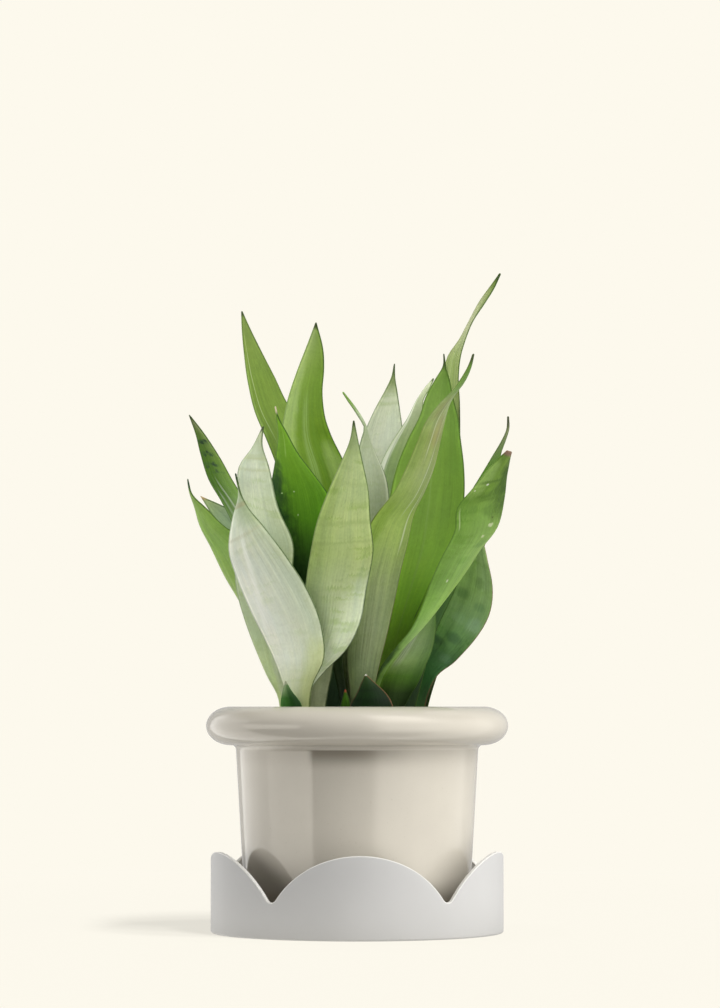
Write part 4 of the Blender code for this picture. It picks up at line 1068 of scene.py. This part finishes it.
def leaf_finish(leaf):
    """Skin of one leaf: its tones, fibres, mottling, faint bands, marks, edge line and dry point, with
    painted light and shade in its side tints and some marks.
    """
    look = LOOKS.get(leaf.name)
    if look is None:
        tones = [(place, *colour) for place, colour in zip(REAR_PLACES, REAR_TONES[leaf.tone])]
        look = Look(tones, 0.6, 0.5)
    material, nodes = new_material(leaf.name + " skin")
    across, along, full = nodes.parts(nodes.attribute("blade"))
    margin, tip, off_middle = nodes.parts(nodes.attribute("measure"))
    grain = nodes.attribute("grain")
    _, grain_y, grain_z = nodes.parts(grain)
    skin = nodes.out("CombineXYZ", {"X": off_middle, "Y": grain_y, "Z": grain_z})

    # Fibres run together where the blade is narrow, so they fade there
    kept_lines = nodes.rise(full, 0.18, 0.55)

    def lines(*sizes):
        lined = nodes.cells(grain, *sizes)
        return nodes.math("MULTIPLY_ADD", nodes.math("SUBTRACT", lined, 0.5), kept_lines, 0.5)

    fine = lines(1.1, 55, 3.0, 0.6)
    broad = lines(3.4, 100, 2.0, 0.5)
    wide = lines(10, 150, 1.0, 0.5)
    cells = nodes.cells(skin, 1.3, 2.0, 2.0, 0.6)
    mottle = nodes.cells(skin, 5, 8, 3.0, 0.6, 0.5)
    patches = nodes.cells(skin, 20, 34, 2.0, 0.5)
    jag = nodes.out("CombineXYZ", {"Y": nodes.uneven(0.0, (fine, 9.0), (cells, 3.0))})
    stepped = nodes.out("VectorMath", {0: skin, 1: jag}, operation="ADD")
    cross = nodes.cells(stepped, 26, 3.8, 2.0, 0.5, 0.3)

    tone = nodes.ramp(along, [(place, painted(colour)) for place, *colour in look.tones])
    # Side tints: painted light and shade on each side, as well as the side's own colour
    tone = nodes.mix(nodes.rise(across, 0.62, 0.0), tone, nodes.tinted(tone, look.left))
    tone = nodes.mix(nodes.rise(across, 0.38, 1.0), tone, nodes.tinted(tone, look.right))
    for mark in look.marks:
        if isinstance(mark, Wash):
            tone = with_mark(nodes, tone, mark, leaf, across, along, mottle, fine)

    fibre, woven = look.fibre, min(1.0, look.fibre + 0.45)
    change = nodes.uneven(1.0, (fine, 0.8 * fibre), (broad, 0.65 * fibre), (wide, 0.4 * fibre),
                          (cells, 0.3 * woven), (mottle, 0.32 * woven), (patches, 0.2 * woven))
    bright = nodes.out("VectorMath", {0: tone, "Scale": change}, operation="SCALE")
    warmth = nodes.rise(nodes.uneven(0.5, (patches, 1.0), (broad, 0.7)), 0.3, 0.7)
    tone = nodes.tinted(bright, nodes.mix(warmth, COOLER, WARMER))
    bands = nodes.product(nodes.rise(cross, 0.5, 0.66), nodes.rise(patches, 0.38, 0.6), look.bands, 0.8)
    tone = nodes.mix(bands, tone, nodes.tinted(tone, DARKER))

    for mark in look.marks:
        if not isinstance(mark, Wash):
            shape = cells if isinstance(mark, Spot) else cross
            tone = with_mark(nodes, tone, mark, leaf, across, along, shape, fine)

    # The edge line is stronger on the right, broken in places, and has a paler line beside it
    edge_colour, edge_width = look.margin
    rough_margin = nodes.uneven(margin, (cells, 0.35))
    drawn = nodes.rise(nodes.uneven(0.5, (mottle, 1.0), (patches, 1.0)), 0.25, 0.6)
    edge_line = nodes.rise(rough_margin, edge_width * 1.3, edge_width * 0.5)
    pale_line = nodes.within(rough_margin, edge_width * 1.4, edge_width * 2.6, edge_width * 0.5)
    tone = nodes.mix(nodes.product(pale_line, drawn, 0.45), tone, nodes.tinted(tone, PALER))
    sides = nodes.math("MULTIPLY_ADD", nodes.rise(across, 0.4, 0.6), 0.45, 0.42)
    unbroken = nodes.math("MULTIPLY_ADD", drawn, 0.3, 0.7)
    tone = nodes.mix(nodes.product(edge_line, sides, unbroken), tone, painted(edge_colour))
    tip_colour, tip_length = look.tip
    end = nodes.rise(nodes.uneven(tip, (fine, tip_length)), tip_length, tip_length * 0.35)
    tone = nodes.mix(nodes.product(end, 0.9), tone, painted(tip_colour))

    ribs = nodes.bump(nodes.uneven(0.0, (fine, 0.5), (broad, 1.0), (wide, 1.4)), 0.0009, 0.6)
    nodes.surface({
        "Base Color": tone, "Roughness": nodes.uneven(0.5, (fine, 0.3), (mottle, 0.2)), "IOR": 1.42,
        "Specular IOR Level": LEAF_SHINE, "Normal": nodes.bump(cells, 0.0001, 0.5, ribs)})
    return material


def with_mark(nodes, tone, mark, leaf, across, along, uneven, fine):
    """The tone with one streak, spot, band or wash laid over it."""
    stops, length = along_leaf(leaf)
    if isinstance(mark, Band):
        half = mark.height / 2 / length
        place = nodes.uneven(along, (uneven, 0.02), (fine, 5.0 / length))
        share = nodes.within(place, mark.up - half, mark.up + half, half * 0.9)
        span = nodes.within(nodes.uneven(across, (fine, 0.5)), *mark.span, 0.12)
        share = nodes.product(share, span, mark.strength)
    elif isinstance(mark, Streak):
        low, high = sorted([mark.start, mark.end], key=lambda place: place[1])
        slope = (high[0] - low[0]) / (high[1] - low[1])
        line = nodes.math("MULTIPLY_ADD", along, slope, low[0] - slope * low[1])
        off = nodes.math("ABSOLUTE", nodes.math("SUBTRACT", across, line))
        share = nodes.rise(off, mark.width * 1.5, mark.width * 0.3)
        ends = nodes.within(along, low[1], high[1], (high[1] - low[1]) * 0.15)
        share = nodes.product(share, ends, nodes.rise(fine, 0.25, 0.6), mark.strength)
    else:
        width = 2 * np.linalg.norm(frame_at(leaf, stops, mark.up)[1])
        x = nodes.product(nodes.math("SUBTRACT", across, mark.across), width / mark.wide)
        y = nodes.product(nodes.math("SUBTRACT", along, mark.up), length / mark.long)
        wash = isinstance(mark, Wash)
        square = nodes.math("ADD", nodes.product(x, x), nodes.product(y, y))
        away = nodes.uneven(square, (uneven, 0.8 if wash else 3.0))
        outer, inner, strength = (1.0, 0.0, mark.strength) if wash else (1.2, 0.3, 0.8)
        share = nodes.product(nodes.rise(away, outer, inner), strength)
    return nodes.mix(share, tone, painted(mark.colour))


def make_leaf(leaf):
    points, faces, attributes = blade(leaf)
    name = leaf.name.replace("leaf", "blade")
    item = solid(name, points, faces, leaf_finish(leaf), attributes)
    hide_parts(leaf.name)
    return item


def make_camera():
    data = bpy.data.cameras.new("camera")
    data.sensor_width = 36.0
    data.lens = CAMERA_LENS
    data.shift_y = CAMERA_SHIFT
    camera = placed("camera", data)
    camera.location = CAMERA_PLACE
    camera.rotation_euler = (math.radians(90 + CAMERA_PITCH), 0.0, 0.0)
    bpy.context.scene.camera = camera


def make_studio():
    """A dark room with large soft panels at both sides, above and behind, seen as a plain backdrop."""
    world = bpy.data.worlds.new("studio")
    bpy.context.scene.world = world
    nodes = Nodes(world)
    x, y, z = nodes.parts(nodes.add("TexCoord").outputs["Generated"])
    to_degrees = 180 / math.pi
    side = nodes.product(nodes.math("ARCTAN2", x, nodes.product(y, -1.0)), to_degrees)
    height = nodes.product(nodes.math("ARCSINE", z), to_degrees)
    glow = 0.0
    for panel in PANELS:
        share = nodes.product(
            nodes.within(side, panel.low, panel.high, panel.soft_side),
            nodes.within(height, panel.bottom, panel.top, panel.soft_end))
        glow = nodes.math("MULTIPLY_ADD", share, panel.glow, glow)
    lit = nodes.out("Background", {"Color": (1.0, 0.99, 0.97), "Strength": glow})
    shown = nodes.out("Background", {"Color": linear(BACKDROP), "Strength": 1.0})
    ray = nodes.add("LightPath").outputs["Is Camera Ray"]
    nodes.show("World Output", nodes.out("MixShader", {0: ray, 1: lit, 2: shown}))


def stage_material(name):
    """A material without a shader, for the floor and the disc."""
    material, nodes = new_material(name)
    nodes.tree.nodes.remove(nodes.tree.nodes["Principled BSDF"])
    return material, nodes


def scenery(name, points, faces, material, camera, diffuse):
    """A piece that shades nothing, and that the camera or soft light may see, as stated."""
    item = placed(name, new_mesh(name, points, faces, material))
    item.visible_camera = camera
    item.visible_diffuse = diffuse
    item.visible_glossy = item.visible_transmission = item.visible_shadow = False
    return item


def make_floor():
    """A pale floor like the backdrop. It takes a soft shadow near the object, and lights nothing."""
    material, nodes = stage_material("pale floor")
    away = nodes.add("VectorMath", {0: nodes.place()}, operation="LENGTH").outputs["Value"]
    fade = nodes.rise(away, FLOOR_FADE[1] * MM, FLOOR_FADE[0] * MM)
    plain = nodes.out("Emission", {"Color": linear(BACKDROP), "Strength": 1.0})
    tint = tuple(share * FLOOR_ALBEDO for share in linear(BACKDROP))
    catcher = nodes.out("BsdfDiffuse", {"Color": tint})
    share = nodes.product(fade, FLOOR_SHADE)
    nodes.show("Material Output", nodes.out("MixShader", {0: share, 1: plain, 2: catcher}))
    half = FLOOR_SIZE / 2 * MM
    corners = [(-half, -half, 0), (half, -half, 0), (half, half, 0), (-half, half, 0)]
    floor = scenery("floor", corners, [(0, 1, 2, 3)], material, camera=True, diffuse=False)
    return floor


def make_bounce():
    """Light that the pale floor throws back up at the saucer. Only soft light sees this disc."""
    material, nodes = stage_material("floor bounce")
    glow = nodes.out("Emission", {"Color": linear(BACKDROP), "Strength": BOUNCE_GLOW})
    nodes.show("Material Output", glow)
    points = [section[0] for section in all_round([(BOUNCE_RADIUS, 0.0)], BOUNCE_STEPS)]
    disc = scenery("floor_bounce", points, [range(BOUNCE_STEPS)], material, camera=False, diffuse=True)


def gathered(name, items):
    group = bpy.data.collections.new(name)
    for item in items:
        group.objects.link(item)
    return group


def make_lamp(name, strength, direction, size, lit, shading=None):
    """A soft far lamp that lights only some pieces, and that only some pieces may shade."""
    data = bpy.data.lights.new(name, "SUN")
    data.energy = strength
    data.angle = math.radians(size)
    lamp = placed(name, data)
    side, up = (math.radians(angle) for angle in direction)
    towards = Vector((math.sin(side) * math.cos(up), -math.cos(side) * math.cos(up), math.sin(up)))
    lamp.rotation_euler = towards.to_track_quat("Z", "Y").to_euler()
    lamp.light_linking.receiver_collection = gathered("lit by the " + name, lit)
    if shading is not None:
        lamp.light_linking.blocker_collection = gathered("shades the " + name, shading)


def main():
    bpy.context.scene.view_settings.view_transform = "Standard"
    make_camera()
    make_studio()
    floor = make_floor()
    make_bounce()
    vessels = [make_saucer(), make_pot()]
    make_soil()
    leaves = [make_leaf(leaf) for leaf in LEAVES]
    for number, direction in enumerate(SHADOW_LAMPS):
        strength = SHADOW_LIGHT / len(SHADOW_LAMPS) / math.sin(math.radians(direction[1]))
        make_lamp(f"shadow lamp {number + 1}", strength, direction, SHADOW_SIZE, [floor], vessels)
    grown = [item for item in leaves if not item.name.startswith("young")]
    make_lamp("leaf lamp", LEAF_LIGHT, LEAF_LAMP, LEAF_LAMP_SIZE, grown)


main()
